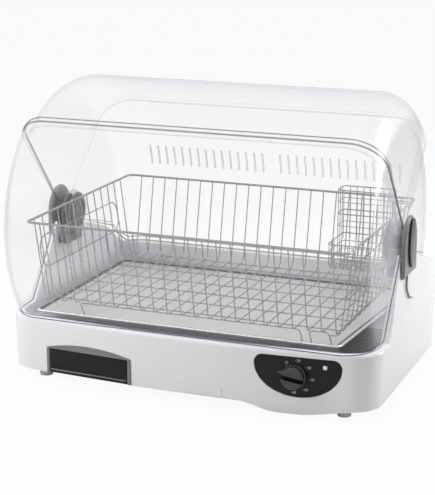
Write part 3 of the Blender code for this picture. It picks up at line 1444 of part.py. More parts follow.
def make_heater(scroll_low, scroll_top):
    """The finned heater in the blower's outlet, with the thermal fuse at its side."""
    low = (HEATER_X - HEATER_HALF_X, HEATER_Y - HEATER_HALF_Y, scroll_low)
    high = (HEATER_X + HEATER_HALF_X, HEATER_Y + HEATER_HALF_Y, scroll_top)
    heater = add_object("heater_unit", box_mesh("heater_unit", low, high), METAL)
    pitch = 2 * HEATER_HALF_X / (HEATER_FINS + 1)
    gaps = []
    for i in range(HEATER_FINS):
        x = low[0] + pitch * (i + 1)
        half = pitch * HEATER_GAP_SHARE
        gap_low = (x - half, low[1] - OVERRUN, low[2] + pitch)
        gaps.append(box_mesh("fin_gap", gap_low, (x + half, high[1] + OVERRUN, high[2] - pitch)))
    boolean_group(heater, gaps, "DIFFERENCE")
    fuse_x = HEATER_X - HEATER_HALF_X - TOUCH_GAP
    size = HEATER_HALF_Y
    fuse_low = (fuse_x - size, HEATER_Y - size / 2, scroll_low + size)
    fuse_high = (fuse_x, HEATER_Y + size / 2, scroll_low + 2 * size)
    body = add_object("thermal_fuse", box_mesh("thermal_fuse", fuse_low, fuse_high), CHROME)
    bevel(body, size / 8, 1)


def grille_box(low_z, high_z, grow=0.0):
    """Corners of the warm-air outlet between two heights."""
    return (
        (GRILLE_X - GRILLE_HALF_X - grow, GRILLE_Y - GRILLE_HALF_Y - grow, low_z),
        (GRILLE_X + GRILLE_HALF_X + grow, GRILLE_Y + GRILLE_HALF_Y + grow, high_z),
    )


def make_duct(scroll_low, scroll_top):
    """The channel that turns the heated air up through the outlet."""
    low = (HEATER_X - HEATER_HALF_X, GRILLE_Y - GRILLE_HALF_Y - SCROLL_WALL, scroll_low)
    high = (GRILLE_X + GRILLE_HALF_X + SCROLL_WALL, HEATER_Y - HEATER_HALF_Y - TOUCH_GAP, scroll_top)
    duct = add_object("air_duct", box_mesh("air_duct", low, high), GREY)
    inner_low = [c + SCROLL_WALL for c in low]
    inner_high = (high[0] - SCROLL_WALL, high[1] + OVERRUN, high[2] + OVERRUN)
    cut(duct, box_mesh("air_way", inner_low, inner_high))


def make_grille():
    """The barred plate over the warm-air outlet."""
    low = DECK_Z + TOUCH_GAP
    plate = box_mesh("air_outlet_grille", *grille_box(low, low + GRILLE_WALL))
    grille = add_object("air_outlet_grille", plate, GREY)
    pitch = 2 * GRILLE_HALF_Y / (GRILLE_BARS + 1)
    gaps = []
    for i in range(GRILLE_BARS):
        y = GRILLE_Y - GRILLE_HALF_Y + pitch * (i + 1)
        half_x = GRILLE_HALF_X - 2 * GRILLE_WALL
        gap_low = (GRILLE_X - half_x, y - pitch / 4, low - OVERRUN)
        gaps.append(box_mesh("air_gap", gap_low, (GRILLE_X + half_x, y + pitch / 4, low + OVERRUN)))
    boolean_group(grille, gaps, "DIFFERENCE")


def make_electrics():
    """Terminal block, cord gland and the intake filter under the fan."""
    base = BOTTOM_Z + BOTTOM_WALL + TOUCH_GAP
    half = BLOCK_SIDE / 2
    y = BASE_REAR - 3 * BLOCK_SIDE
    block_low = (GLAND_X - 4 * half, y - half, base)
    body = box_mesh("terminal_block", block_low, (GLAND_X - 2 * half, y + half, base + BLOCK_HEIGHT))
    block = add_object("terminal_block", body, WHITE)
    for i in (-1, 0, 1):
        spot = (GLAND_X - 3 * half, y + i * half * TERMINAL_STEP_SHARE, base + BLOCK_HEIGHT / 2)
        cut(block, rod_mesh("terminal", spot, BLOCK_HEIGHT, half / 6, "Z", 8))
    start = (GLAND_X, BASE_REAR - DRAFT - HOUSING_WALL - GLAND_LENGTH / 3, GLAND_Z)
    body = rod_mesh("cord_gland", start, GLAND_LENGTH - OVERRUN / 2, GLAND_R, "Y", GLAND_SIDES)
    gland = add_object("cord_gland", body, BLACK)
    flange_y = BASE_REAR - outer_inset(RIM_Z, GLAND_Z + GLAND_FLANGE_R) + TOUCH_GAP
    flange = (GLAND_X, flange_y, GLAND_Z)
    fuse(gland, rod_mesh("flange", flange, GLAND_R / 4, GLAND_FLANGE_R, "Y", GLAND_SIDES))
    way_start = (GLAND_X, start[1] - OVERRUN, GLAND_Z)
    cut(gland, rod_mesh("cord_way", way_start, GLAND_LENGTH * 2, GLAND_BORE_R, "Y", 12))
    smooth(gland)
    filter_low = BOTTOM_Z - BOTTOM_WALL - TOUCH_GAP
    disc = rod_mesh("intake_filter", (FAN_X, FAN_Y, filter_low), BOTTOM_WALL, FILTER_R, "Z", 28)
    screen = add_object("intake_filter", disc, GREY)
    boolean_group(screen, vent_slots(filter_low - OVERRUN, filter_low + OVERRUN), "DIFFERENCE")
    smooth(screen)


# Dish basket


def basket_slopes(z):
    """How far the basket's walls have leaned in at height z, as (front or rear, side)."""
    share = (BASKET_RIM_Z - z) / (BASKET_RIM_Z - BASKET_FLOOR_Z)
    return BASKET_LEAN * share, BASKET_SIDE_LEAN * share


def rim_loop(left, right, front, rear, z, radius, steps=3):
    """A level rounded rectangle at height z."""
    return [(x, y, z) for x, y in rounded_box((left, front), (right, rear), radius, steps)]


def divided(loop, pitch):
    """The loop with its long straight stretches broken about every pitch."""
    points = []
    for start, end in zip(loop, loop[1:] + loop[:1]):
        start, end = Vector(start), Vector(end)
        count = max(int((end - start).length / pitch), 1)
        points += [start.lerp(end, i / count) for i in range(count)]
    return points


def basket_wires():
    """Every wire of the dish basket but its rim."""
    wires = []
    lean, side_lean = basket_slopes(BASKET_FLOOR_Z)
    first = -LONG_PITCH * (LONG_WIRES - 1) / 2
    for i in range(LONG_WIRES):
        x = first + i * LONG_PITCH
        path = [
            (x, BASKET_FRONT - WIRE_ASIDE, BASKET_RIM_Z),
            (x, BASKET_FRONT + lean, BASKET_FLOOR_Z),
            (x, BASKET_REAR - lean, BASKET_FLOOR_Z),
            (x, BASKET_REAR + WIRE_ASIDE, BASKET_RIM_Z),
        ]
        wires.append(wire_mesh("long_wire", bent(path, WIRE_BEND, 1), WIRE))
    under = BASKET_FLOOR_Z - WIRE * (1 - WELD_SINK_SHARE)
    middle = (BASKET_FRONT + BASKET_REAR) / 2
    for i in range(CROSS_WIRES):
        y = middle + (i - (CROSS_WIRES - 1) / 2) * CROSS_PITCH
        path = [
            (-BASKET_HALF - WIRE_ASIDE, y, BASKET_RIM_Z),
            (side_lean - BASKET_HALF, y, under),
            (BASKET_HALF - side_lean, y, under),
            (BASKET_HALF + WIRE_ASIDE, y, BASKET_RIM_Z),
        ]
        wires.append(wire_mesh("cross_wire", bent(path, WIRE_BEND, 1), WIRE))
    stand = TRAY_TOP_Z + TOUCH_GAP
    for y in (BASKET_FRONT + lean + WIRE_BEND, BASKET_REAR - lean - WIRE_BEND):
        for x0, x1 in ((FOOT_BAR_LEFT, FOOT_BAR_RIGHT), (FOOT_LOOP_LEFT, FOOT_LOOP_RIGHT)):
            path = [(x0, y, stand), (x0, y, under), (x1, y, under), (x1, y, stand)]
            wires.append(wire_mesh("foot_wire", bent(path, 2 * WIRE, 1), WIRE))
    low, high = (SIDE_LOOP_FRONT, SIDE_LOOP_LOW), (SIDE_LOOP_REAR, SIDE_LOOP_HIGH)
    for side in (-1, 1):
        loop = []
        for y, z in rounded_box(low, high, BASKET_CORNER_R, 3):
            x = BASKET_HALF - basket_slopes(z)[1] - WIRE * (1 - WELD_SINK_SHARE)
            loop.append((side * x, y, z))
        wires.append(wire_mesh("side_loop", loop, WIRE, closed=True))
    return wires


def make_basket():
    """The welded dish basket: a thick rim with the thinner wires hung in it."""
    sides = -BASKET_HALF, BASKET_HALF
    loop = rim_loop(*sides, BASKET_FRONT, BASKET_REAR, BASKET_RIM_Z, BASKET_CORNER_R)
    rim = wire_mesh("dish_basket", divided(loop, RIM_PIECE), RIM_WIRE, closed=True, tilt_deg=45)
    basket = add_object("dish_basket", rim, CHROME)
    boolean_group(basket, basket_wires(), "UNION")
    return smooth(basket, WIRE_SMOOTH_DEG)


def cutlery_wires():
    """The bands, uprights and side wires of the cutlery basket."""
    wires = []
    left, right = CUTLERY_LEFT, CUTLERY_RIGHT
    front, step, rear = CUTLERY_FRONT, CUTLERY_STEP_Y, CUTLERY_REAR
    corner = 3 * CUTLERY_WIRE
    levels = [(CUTLERY_MID, front), ((CUTLERY_MID + CUTLERY_TOP) / 2, step), (CUTLERY_TOP, step)]
    for z, y0 in levels:
        band = rim_loop(left, right, y0, rear, z, corner, 2)
        wires.append(wire_mesh("band", band, CUTLERY_WIRE, closed=True))
    pitch = (right - left) / CUTLERY_PITCH_COUNT
    for i in range(1, CUTLERY_PITCH_COUNT):
        x = left + i * pitch
        path = [(x, front, CUTLERY_MID), (x, front, CUTLERY_LOW)]
        path += [(x, rear, CUTLERY_LOW), (x, rear, CUTLERY_TOP)]
        wires.append(wire_mesh("cutlery_wire", bent(path, corner, 1), CUTLERY_WIRE))
    under = CUTLERY_LOW - CUTLERY_WIRE * (1 - WELD_SINK_SHARE)
    crests = ((front + corner, CUTLERY_MID), (step + corner, CUTLERY_TOP), (rear - corner, CUTLERY_TOP))
    for y, top in crests:
        path = [(left, y, top), (left, y, under), (right, y, under), (right, y, top)]
        wires.append(wire_mesh("side_wire", bent(path, corner, 1), CUTLERY_WIRE))
    return wires


def hook_wires():
    """Two hooks that carry the cutlery basket on the dish basket's right rim."""
    hooks = []
    outer = BASKET_HALF + RIM_WIRE / 2 + CUTLERY_WIRE / 2 + TOUCH_GAP
    over = BASKET_RIM_Z + RIM_WIRE / 2 + CUTLERY_WIRE / 2 + TOUCH_GAP
    for y in (CUTLERY_STEP_Y + 5 * CUTLERY_WIRE, CUTLERY_REAR - 5 * CUTLERY_WIRE):
        start = (CUTLERY_MID + CUTLERY_TOP) / 2 - CUTLERY_WIRE
        path = [(CUTLERY_RIGHT, y, start), (CUTLERY_RIGHT, y, over)]
        path += [(outer, y, over), (outer, y, over - HOOK_OUT)]
        hooks.append(wire_mesh("hook", bent(path, CUTLERY_WIRE, 1), CUTLERY_WIRE))
    return hooks


def make_cutlery_basket():
    """The closer-woven basket for cutlery, with its two hooks."""
    sides = CUTLERY_LEFT, CUTLERY_RIGHT
    low = CUTLERY_LOW + 6 * CUTLERY_WIRE
    base = rim_loop(*sides, CUTLERY_FRONT, CUTLERY_REAR, low, 3 * CUTLERY_WIRE, 2)
    ring = wire_mesh("cutlery_basket", base, CUTLERY_WIRE, closed=True)
    basket = add_object("cutlery_basket", ring, CHROME)
    boolean_group(basket, cutlery_wires() + hook_wires(), "UNION")
    return smooth(basket, WIRE_SMOOTH_DEG)


def main():
    """Build every piece of the dryer."""
    make_housing()
    make_bottom()
    make_feet()
    make_screws()
    make_front_cover()
    make_top_cover()
    make_rear_cover()
    for side, word in ((-1, "left"), (1, "right")):
        make_hub(side, word)
    make_tray()
    make_drawer()
    make_bezel()
    make_panel()
    make_knob()
    make_timer()
    heights = make_blower()
    make_heater(*heights)
    make_duct(*heights)
    make_grille()
    make_electrics()
    make_basket()
    make_cutlery_basket()


main()
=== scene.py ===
# %% [markdown]
# # An electric dish dryer with a telescoping clear hood
# The real dryer is a shallow white moulded base with a fan and a heater inside. Over it stands a hood of
# three clear covers that slide under each other about one axis, and in it hang two welded wire baskets.
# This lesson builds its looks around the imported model: every piece sits where the model says and rides
# on the body that carries it, so that the hood still opens and the drawer still slides.

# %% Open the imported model
import json
from functools import cache
from math import asin, cos, degrees, hypot, pi, radians, sin, sqrt

import bmesh
import bpy
from mathutils import Matrix, Vector


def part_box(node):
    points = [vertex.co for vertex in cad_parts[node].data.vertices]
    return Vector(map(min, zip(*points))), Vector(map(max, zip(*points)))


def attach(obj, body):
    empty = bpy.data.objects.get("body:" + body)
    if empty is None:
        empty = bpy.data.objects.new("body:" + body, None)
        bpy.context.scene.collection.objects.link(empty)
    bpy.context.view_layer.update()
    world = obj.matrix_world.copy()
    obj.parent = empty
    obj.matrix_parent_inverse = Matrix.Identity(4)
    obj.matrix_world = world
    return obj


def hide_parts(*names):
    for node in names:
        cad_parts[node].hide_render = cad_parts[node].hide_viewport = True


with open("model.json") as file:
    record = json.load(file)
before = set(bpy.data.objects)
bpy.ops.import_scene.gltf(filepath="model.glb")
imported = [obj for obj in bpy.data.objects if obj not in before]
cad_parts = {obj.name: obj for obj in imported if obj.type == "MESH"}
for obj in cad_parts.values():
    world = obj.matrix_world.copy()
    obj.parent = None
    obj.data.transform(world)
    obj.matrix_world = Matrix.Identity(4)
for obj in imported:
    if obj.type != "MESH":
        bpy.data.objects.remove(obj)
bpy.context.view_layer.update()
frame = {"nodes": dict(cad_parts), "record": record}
print("nodes in the packed model:", len(frame["nodes"]))

# %% [markdown]
# ## Arithmetic on sockets
# A finish such as brushed steel is a few sums on noise values. Written node by node these sums are hard
# to read, so one small class stands for a socket and adds a Math node for each operator. One method
# makes every other node: it takes the node's type, its settings, and the values or links of its inputs.

# %% Sockets as numbers
class Term:
    """A value carried by a socket, written in sums like a number."""

    def __init__(self, sheet, socket):
        self.sheet = sheet
        self.socket = socket

    def sum_node(self, operation, first, second):
        return self.sheet.node("ShaderNodeMath", {"operation": operation}, {0: first, 1: second})

    def __add__(self, other):
        return self.sum_node("ADD", self, other)

    def __radd__(self, other):
        return self.sum_node("ADD", other, self)

    def __mul__(self, other):
        return self.sum_node("MULTIPLY", self, other)

    def __pow__(self, other):
        return self.sum_node("POWER", self, other)


class Sheet:
    """A node tree under construction."""

    def __init__(self, tree):
        self.tree = tree

    def node(self, kind, settings=None, inputs=None, output=0):
        made = self.tree.nodes.new(kind)
        for key, value in (settings or {}).items():
            if key == "stops":
                self.set_stops(made.color_ramp, value)
            else:
                setattr(made, key, value)
        for key, value in (inputs or {}).items():
            if isinstance(value, Term):
                self.tree.links.new(value.socket, made.inputs[key])
            else:
                made.inputs[key].default_value = value
        return Term(self, made.outputs[output]) if len(made.outputs) else made

    def set_stops(self, ramp, stops):
        while len(ramp.elements) < len(stops):
            ramp.elements.new(1.0)
        for element, (spot, shade) in zip(ramp.elements, stops):
            element.position = spot
            element.color = (shade, shade, shade, 1.0)


print("socket arithmetic ready")

# %% [markdown]
# ## A finish
# Most finishes are one Principled surface. The noise reads Object coordinates in metres, so a scale of
# 400 gives grain of about 2.5 mm on every piece, whatever its size. A table gives one row per finish.

# %% The maker of finishes
class Finish(Sheet):
    """One material of the dryer."""

    def __init__(self, name):
        self.material = bpy.data.materials.new(name)
        self.material.use_nodes = True
        self.material.node_tree.nodes.clear()
        super().__init__(self.material.node_tree)
        self.place = self.node("ShaderNodeTexCoord", output="Object")

    def noise(self, scale, detail=2.0, stretch=(1.0, 1.0, 1.0)):
        spot = self.node("ShaderNodeMapping", {}, {"Vector": self.place, "Scale": stretch})
        return self.node("ShaderNodeTexNoise", {}, {"Vector": spot, "Scale": scale, "Detail": detail})

    def tint(self, share, first, second):
        colours = [shade if isinstance(shade, Term) else (*shade, 1.0) for shade in (first, second)]
        inputs = {0: share, 6: colours[0], 7: colours[1]}
        return self.node("ShaderNodeMix", {"data_type": "RGBA"}, inputs, output=2)

    def relief(self, height, strength, distance):
        return self.node("ShaderNodeBump", {}, {"Height": height, "Strength": strength, "Distance": distance})

    def surface(self, sockets):
        shader = self.node("ShaderNodeBsdfPrincipled", {}, sockets)
        self.node("ShaderNodeOutputMaterial", {}, {"Surface": shader})
        return self.material


FINISHES = {}


def add_finishes(recipe, table):
    """One finish of the recipe for each row of the table."""
    for name, values in table.items():
        FINISHES[name] = recipe(name, *values)
    print("finishes:", ", ".join(table))


print("finish maker ready")

# %% [markdown]
# ## White plastic of the base
# The base is injection-moulded polypropylene or ABS with a glossy face. A real moulding is never one
# flat white: its tone drifts a trace, and its gloss breaks over a very fine orange peel. A slow noise
# shifts the tone and the gloss a little, and a fast one gives the peel as a bump.

# %% White moulded plastic
def white_plastic():
    made = Finish("white_plastic")
    cloud = made.noise(14.0)
    peel = made.noise(520.0, 1.0)
    return made.surface({
        "Base Color": made.tint(cloud, (0.785, 0.785, 0.81), (0.83, 0.83, 0.85)),
        "Roughness": 0.16 + cloud * 0.10,
        "Specular IOR Level": 0.5,
        "Normal": made.relief(peel, 0.04, 0.0004),
    })


FINISHES["white_plastic"] = white_plastic()
print("white plastic:", len(FINISHES["white_plastic"].node_tree.nodes), "nodes")

# %% [markdown]
# ## Clear plastic of the hood
# The covers are clear styrene about 2.4 mm thick. Seen square on they are almost invisible; seen along
# the sheet they turn lilac grey, which draws the rounded corners. Layer Weight gives that density as
# Alpha. Alpha would dim the gloss too, so a mirror finish is mixed over the tint by the same slant. Cut
# edges and lip steps bend light away and look darker, so they get three denser finishes of their own. A
# row of the table gives the darker and the lighter tint, the density square on, and the gain by slant.

# %% Clear moulded plastic
def clear_plastic(name, dark, light, thin, dense):
    made = Finish(name)
    slant = made.node("ShaderNodeLayerWeight", {}, {"Blend": 0.5}, output="Facing")
    ripple = made.noise(9.0)
    edge_on = [shade * 0.45 for shade in dark]
    tinted = made.node("ShaderNodeBsdfPrincipled", {}, {
        "Base Color": made.tint(slant**7, made.tint(ripple, dark, light), edge_on),
        "Roughness": 0.5,
        "Specular IOR Level": 0.0,
        "Alpha": thin + slant**3 * dense + slant**10 * 0.5 + slant**26 * 0.4,
    })
    gloss = made.node("ShaderNodeBsdfPrincipled", {}, {
        "Base Color": (1.0, 1.0, 1.0, 1.0), "Metallic": 1.0, "Roughness": 0.18 + ripple * 0.08})
    both = made.node("ShaderNodeMixShader", {}, {0: 0.03 + slant**4 * 0.34, 1: tinted, 2: gloss})
    made.node("ShaderNodeOutputMaterial", {}, {"Surface": both})
    return made.material


add_finishes(clear_plastic, {
    "clear_plastic": ((0.78, 0.78, 0.85), (0.84, 0.84, 0.90), 0.004, 0.24),
    "clear_edge": ((0.10, 0.10, 0.12), (0.15, 0.15, 0.17), 0.70, 0.20),
    "faint_edge": ((0.30, 0.30, 0.34), (0.38, 0.38, 0.42), 0.16, 0.30),
    "slot_edge": ((0.12, 0.12, 0.14), (0.18, 0.18, 0.20), 0.60, 0.15),
})

# %% [markdown]
# ## Grey and black plastics
# Hubs and bezel are mid grey with a satin spark-eroded texture, the knob is darker, and the control
# panel and the drawer are black. All follow one recipe with another tone: fine grain in the bump and a
# slow variation in the gloss, because hands polish such pieces unevenly.

# %% Satin plastics
def satin_plastic(name, dark, light, roughness, grain, gloss=0.5):
    made = Finish(name)
    cloud = made.noise(60.0)
    speckle = made.noise(1500.0, 1.0)
    return made.surface({
        "Base Color": made.tint(cloud, dark, light),
        "Roughness": roughness + cloud * 0.12,
        "Specular IOR Level": gloss,
        "Normal": made.relief(speckle, grain, 0.0003),
    })


add_finishes(satin_plastic, {
    "grey_plastic": ((0.17, 0.17, 0.178), (0.215, 0.215, 0.225), 0.30, 0.12),
    "black_plastic": ((0.006, 0.006, 0.007), (0.012, 0.012, 0.013), 0.16, 0.05),
    "panel_plastic": ((0.007, 0.007, 0.0085), (0.011, 0.011, 0.013), 0.30, 0.04, 0.25),
    "knob_plastic": ((0.028, 0.028, 0.030), (0.042, 0.042, 0.044), 0.26, 0.08, 0.60),
    "inner_plastic": ((0.30, 0.30, 0.31), (0.36, 0.36, 0.37), 0.45, 0.1),
})

# %% [markdown]
# ## Metals
# The drip tray is stainless sheet brushed along its length: a noise squeezed across the brushing and
# stretched along it gives the hairlines, in the roughness and the bump. The basket wire is drawn and
# chrome plated, so it is smoother, with faint die lines; its colour is painted darker than chrome, in
# place of the dark surroundings that it would reflect. The tray's hem has a painted highlight on its
# slanted face and top and painted shade in the fold beside it, and screws are zinc plated.

# %% Brushed sheet, chromed wire and zinc
def brushed_sheet():
    made = Finish("stainless_sheet")
    hair = made.noise(1.0, 3.0, (14.0, 1500.0, 1500.0))
    cloud = made.noise(11.0)
    return made.surface({
        "Base Color": made.tint(cloud, (0.68, 0.68, 0.69), (0.76, 0.76, 0.765)),
        "Metallic": 0.60,
        "Roughness": 0.30 + hair * 0.16,
        "Normal": made.relief(hair, 0.10, 0.0002),
    })


def plated(name, dark, light, roughness, metallic=1.0):
    made = Finish(name)
    line = made.noise(240.0, 2.0)
    return made.surface({
        "Base Color": made.tint(line, dark, light),
        "Metallic": metallic,
        "Roughness": roughness + line * 0.12,
        "Normal": made.relief(line, 0.04, 0.0002),
    })


FINISHES["stainless_sheet"] = brushed_sheet()
add_finishes(plated, {
    # The wire is painted darker than chrome, in place of the dark surroundings that it would reflect.
    "chromed_wire": ((0.33, 0.33, 0.345), (0.43, 0.43, 0.445), 0.20),
    # The hem's two finishes are painted light: a highlight on its slanted face and top, and shade in its fold.
    "bright_hem": ((0.88, 0.88, 0.89), (0.95, 0.95, 0.96), 0.20, 0.30),
    "hem_fold": ((0.10, 0.10, 0.11), (0.17, 0.17, 0.18), 0.30),
    "zinc_steel": ((0.46, 0.46, 0.47), (0.56, 0.56, 0.58), 0.28),
})

# %% [markdown]
# ## Lamp lens and printed marks
# The pilot lamp is a small opal window that looks white when it is off. The dial's numbers are screen
# printed in white ink, which is matt and very slightly broken where it meets the panel's grain.

# %% Opal lens and ink
def opal_lens():
    made = Finish("lamp_lens")
    cloud = made.noise(300.0)
    return made.surface({
        "Base Color": made.tint(cloud, (0.82, 0.81, 0.79), (0.90, 0.89, 0.87)),
        "Roughness": 0.14 + cloud * 0.08,
    })


def ink():
    made = Finish("white_ink")
    cover = made.noise(2600.0, 1.0)
    return made.surface({
        "Base Color": made.tint(cover, (0.50, 0.50, 0.51), (0.68, 0.68, 0.69)),
        "Roughness": 0.55 + cover * 0.1,
    })


FINISHES["lamp_lens"] = opal_lens()
FINISHES["white_ink"] = ink()
print("lens and ink ready")

# %% [markdown]
# ## Dress every node of the model
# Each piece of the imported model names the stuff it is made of. Those that keep their own shape, such as
# the motor, the heater and the feet, take the matching finish in their material slots.

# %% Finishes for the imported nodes
NODE_FINISHES = {
    "black_plastic": ("hub_badge", "fan_impeller", "cord_gland", "air_outlet_grille"),
    "panel_plastic": ("control_panel", "water_drawer"),
    "knob_plastic": ("timer_knob",),
    "grey_plastic": ("hub_", "pivot_pin", "drawer_bezel"),
    "inner_plastic": ("blower_scroll", "air_duct", "intake_filter"),
    "zinc_steel": ("bottom_screw", "timer_", "fan_motor", "fan_shaft", "heater_unit", "thermal_fuse"),
    "stainless_sheet": ("drip_tray",),
    "chromed_wire": ("dish_basket", "cutlery_basket"),
    "lamp_lens": ("pilot_lamp",),
    "clear_plastic": ("front_cover", "top_cover", "rear_cover"),
}


def finish_for(node):
    """The first finish with a start of the node's name, or else the white of the base."""
    for stuff, starts in NODE_FINISHES.items():
        if node.startswith(starts):
            return stuff
    return "white_plastic"


for node, item in frame["nodes"].items():
    for slot in item.material_slots:
        slot.material = FINISHES[finish_for(node)]
print("dressed", len(frame["nodes"]), "nodes")

# %% [markdown]
# ## Meshes from rules
# A few helpers turn rules into meshes: an extruded outline, a turned rod, rows of points lofted into a
# skin, and cuts between meshes. Each returns a plain mesh, so a finished piece never carries a cutter.

# %% Mesh helpers
def worked(name, build):
    """A new mesh of whatever build puts into an empty bmesh."""
    work = bmesh.new()
    build(work)
    mesh = bpy.data.meshes.new(name)
    work.to_mesh(mesh)
    work.free()
    return mesh


def mesh_from(name, build):
    """The same, with its doubles merged and its faces turned out."""

    def clean(work):
        build(work)
        bmesh.ops.remove_doubles(work, verts=work.verts, dist=0.000005)
        bmesh.ops.recalc_face_normals(work, faces=work.faces)

    return worked(name, clean)


def strip(work, first, second):
    """A closed band of faces between two rings of vertices."""
    count = len(first)
    pairs = [(i, (i + 1) % count) for i in range(count)]
    return [work.faces.new((first[i], first[j], second[j], second[i])) for i, j in pairs]


def spread(start, end, count):
    return [start + (end - start) * i / count for i in range(count + 1)]


def arc(centre, radius, start_deg, end_deg, steps):
    turns = [radians(t) for t in spread(start_deg, end_deg, steps)]
    return [(centre[0] + radius * cos(t), centre[1] + radius * sin(t)) for t in turns]


def rounded_box(low, high, radius, steps=5):
    (x0, y0), (x1, y1) = low, high
    return (arc((x0 + radius, y0 + radius), radius, 180, 270, steps)
            + arc((x1 - radius, y0 + radius), radius, 270, 360, steps)
            + arc((x1 - radius, y1 - radius), radius, 0, 90, steps)
            + arc((x0 + radius, y1 - radius), radius, 90, 180, steps))


def box_mesh(low, high):
    def build(work):
        size = [b - a for a, b in zip(low, high)]
        middle = [(a + b) / 2 for a, b in zip(low, high)]
        bmesh.ops.create_cube(work, size=1, matrix=Matrix.Translation(middle) @ Matrix.Diagonal((*size, 1)))

    return mesh_from("box", build)


AXIS_TURN = {
    "X": Matrix.Rotation(pi / 2, 4, "Y"),
    "Y": Matrix.Rotation(-pi / 2, 4, "X"),
    "Z": Matrix.Identity(4),
}


def rod_mesh(start, length, radius, axis="Z", sides=40):
    def build(work):
        place = Matrix.Translation(start) @ AXIS_TURN[axis] @ Matrix.Translation((0, 0, length / 2))
        bmesh.ops.create_cone(work, cap_ends=True, segments=sides, radius1=radius, radius2=radius,
                              depth=length, matrix=place)

    return mesh_from("rod", build)


def prism_mesh(outline, low, high, axis):
    """An outline of (x, z), or of (y, z) where the axis is X, given a depth along the axis."""

    def spot(a, b, level):
        return (level, a, b) if axis == "X" else (a, level, b)

    def build(work):
        rows = [[work.verts.new(spot(a, b, level)) for a, b in outline] for level in (low, high)]
        work.faces.new(rows[0])
        work.faces.new(rows[1])
        strip(work, *rows)

    return mesh_from("prism", build)


def turned_mesh(profile, sides=64):
    """A closed profile of (distance along X, radius) turned about the X axis through the origin."""

    def build(work):
        rings = []
        for i in range(sides):
            t = 2 * pi * i / sides
            rings.append([work.verts.new((x, r * cos(t), r * sin(t))) for x, r in profile])
        for i, ring in enumerate(rings):
            after = rings[(i + 1) % sides]
            for a in range(len(profile)):
                b = (a + 1) % len(profile)
                if profile[a][1] or profile[b][1]:
                    work.faces.new((ring[a], ring[b], after[b], after[a]))

    return mesh_from("turned", build)


def settled(item):
    """The mesh that a helper object ends up with. The object is removed."""
    bpy.context.view_layer.update()
    graph = bpy.context.evaluated_depsgraph_get()
    mesh = bpy.data.meshes.new_from_object(item.evaluated_get(graph))
    bpy.data.objects.remove(item)
    return mesh


def linked(name, data):
    """A new object in the scene."""
    item = bpy.data.objects.new(name, data)
    bpy.context.scene.collection.objects.link(item)
    return item


def combined(mesh, tools, operation="DIFFERENCE"):
    """The mesh after a Boolean with each tool in turn."""
    for tool in tools:
        item, cutter = linked("cut", mesh), linked("cutter", tool)
        made = item.modifiers.new("cut", "BOOLEAN")
        made.operation = operation
        made.object = cutter
        made.solver = "EXACT"
        mesh = settled(item)
        bpy.data.objects.remove(cutter)
    return mesh


def eased(mesh, width, segments=2, limit_deg=35):
    """The mesh with its sharp edges rounded to width."""
    item = linked("eased", mesh)
    made = item.modifiers.new("ease", "BEVEL")
    made.width = width
    made.segments = segments
    made.limit_method = "ANGLE"
    made.angle_limit = radians(limit_deg)
    return settled(item)


def joined(meshes):
    """Several meshes as one."""

    def build(work):
        for mesh in meshes:
            work.from_mesh(mesh)

    return worked("joined", build)


def placed(mesh, matrix):
    mesh.transform(matrix)
    return mesh


def on_side(mesh, side):
    """The mesh at the right, or its mirror image at the left with its faces turned back out."""
    if side < 0:
        mesh.transform(Matrix.Diagonal((-1, 1, 1, 1)))
        mesh.flip_normals()
    return mesh


print("mesh helpers ready")

# %% [markdown]
# ## Adding a piece
# A finished piece has its place in its mesh, rides on a body, and hides the nodes of the model that it
# stands for. A piece whose solid is right already is a softened copy: its triangles are merged, flat
# ones dissolved, and its sharp edges get the small radius that every moulding or pressing has.

# %% Pieces and softened copies
PIECES = []


def with_finishes(mesh, finishes, kinds=None):
    """The mesh with these finishes. Clearing its slots resets its faces, so their kinds are kept first."""
    kinds = kinds or [face.material_index for face in mesh.polygons]
    mesh.materials.clear()
    for finish in finishes:
        mesh.materials.append(FINISHES[finish])
    mesh.polygons.foreach_set("material_index", kinds)
    return mesh


def add_piece(name, mesh, stuff, body, stands_for=(), sharp_deg=35, also=()):
    """Faces keep their index where more finishes than one are given."""
    mesh.name = name
    with_finishes(mesh, (stuff, *also), None if also else [0] * len(mesh.polygons))
    mesh.shade_smooth()
    mesh.set_sharp_from_angle(angle=radians(sharp_deg))
    item = linked(name, mesh)
    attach(item, body)
    if stands_for:
        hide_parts(*stands_for)
    PIECES.append(name)
    print(name, "has", len(mesh.polygons), "faces")
    return item


def merged_copy(node, flat_deg=2.0):
    """A copy of a node's mesh, its doubles merged, and faces that are flat to flat_deg made one."""

    def build(work):
        work.from_mesh(frame["nodes"][node].data)
        bmesh.ops.remove_doubles(work, verts=work.verts, dist=0.00001)
        if flat_deg:
            bmesh.ops.dissolve_limit(work, angle_limit=radians(flat_deg), verts=work.verts, edges=work.edges)

    mesh = worked(node, build)
    if "custom_normal" in mesh.attributes:
        mesh.attributes.remove(mesh.attributes["custom_normal"])
    return mesh


def body_of(node):
    for body, nodes in frame["record"]["behaviour"]["bodies"].items():
        if node in nodes:
            return body
    return "base"


def stand_in(node, mesh, sharp_deg=35, also=()):
    """A piece in the place of one node, on its body and in its finish."""
    return add_piece(f"{node}_piece", mesh, finish_for(node), body_of(node), (node,), sharp_deg, also)


def soften(node, width, limit_deg=35):
    stand_in(node, eased(merged_copy(node), width, limit_deg=limit_deg))


# %% [markdown]
# ## Plan of the base
# Seen from above the base is a rounded rectangle whose front bows out. Its rim is low along the front,
# climbs the two cheeks that carry the hood's hubs, dips into a well under each hub, and falls again to
# the rear wall. The plan is a list of points, each with its outward direction and the rim's height there.

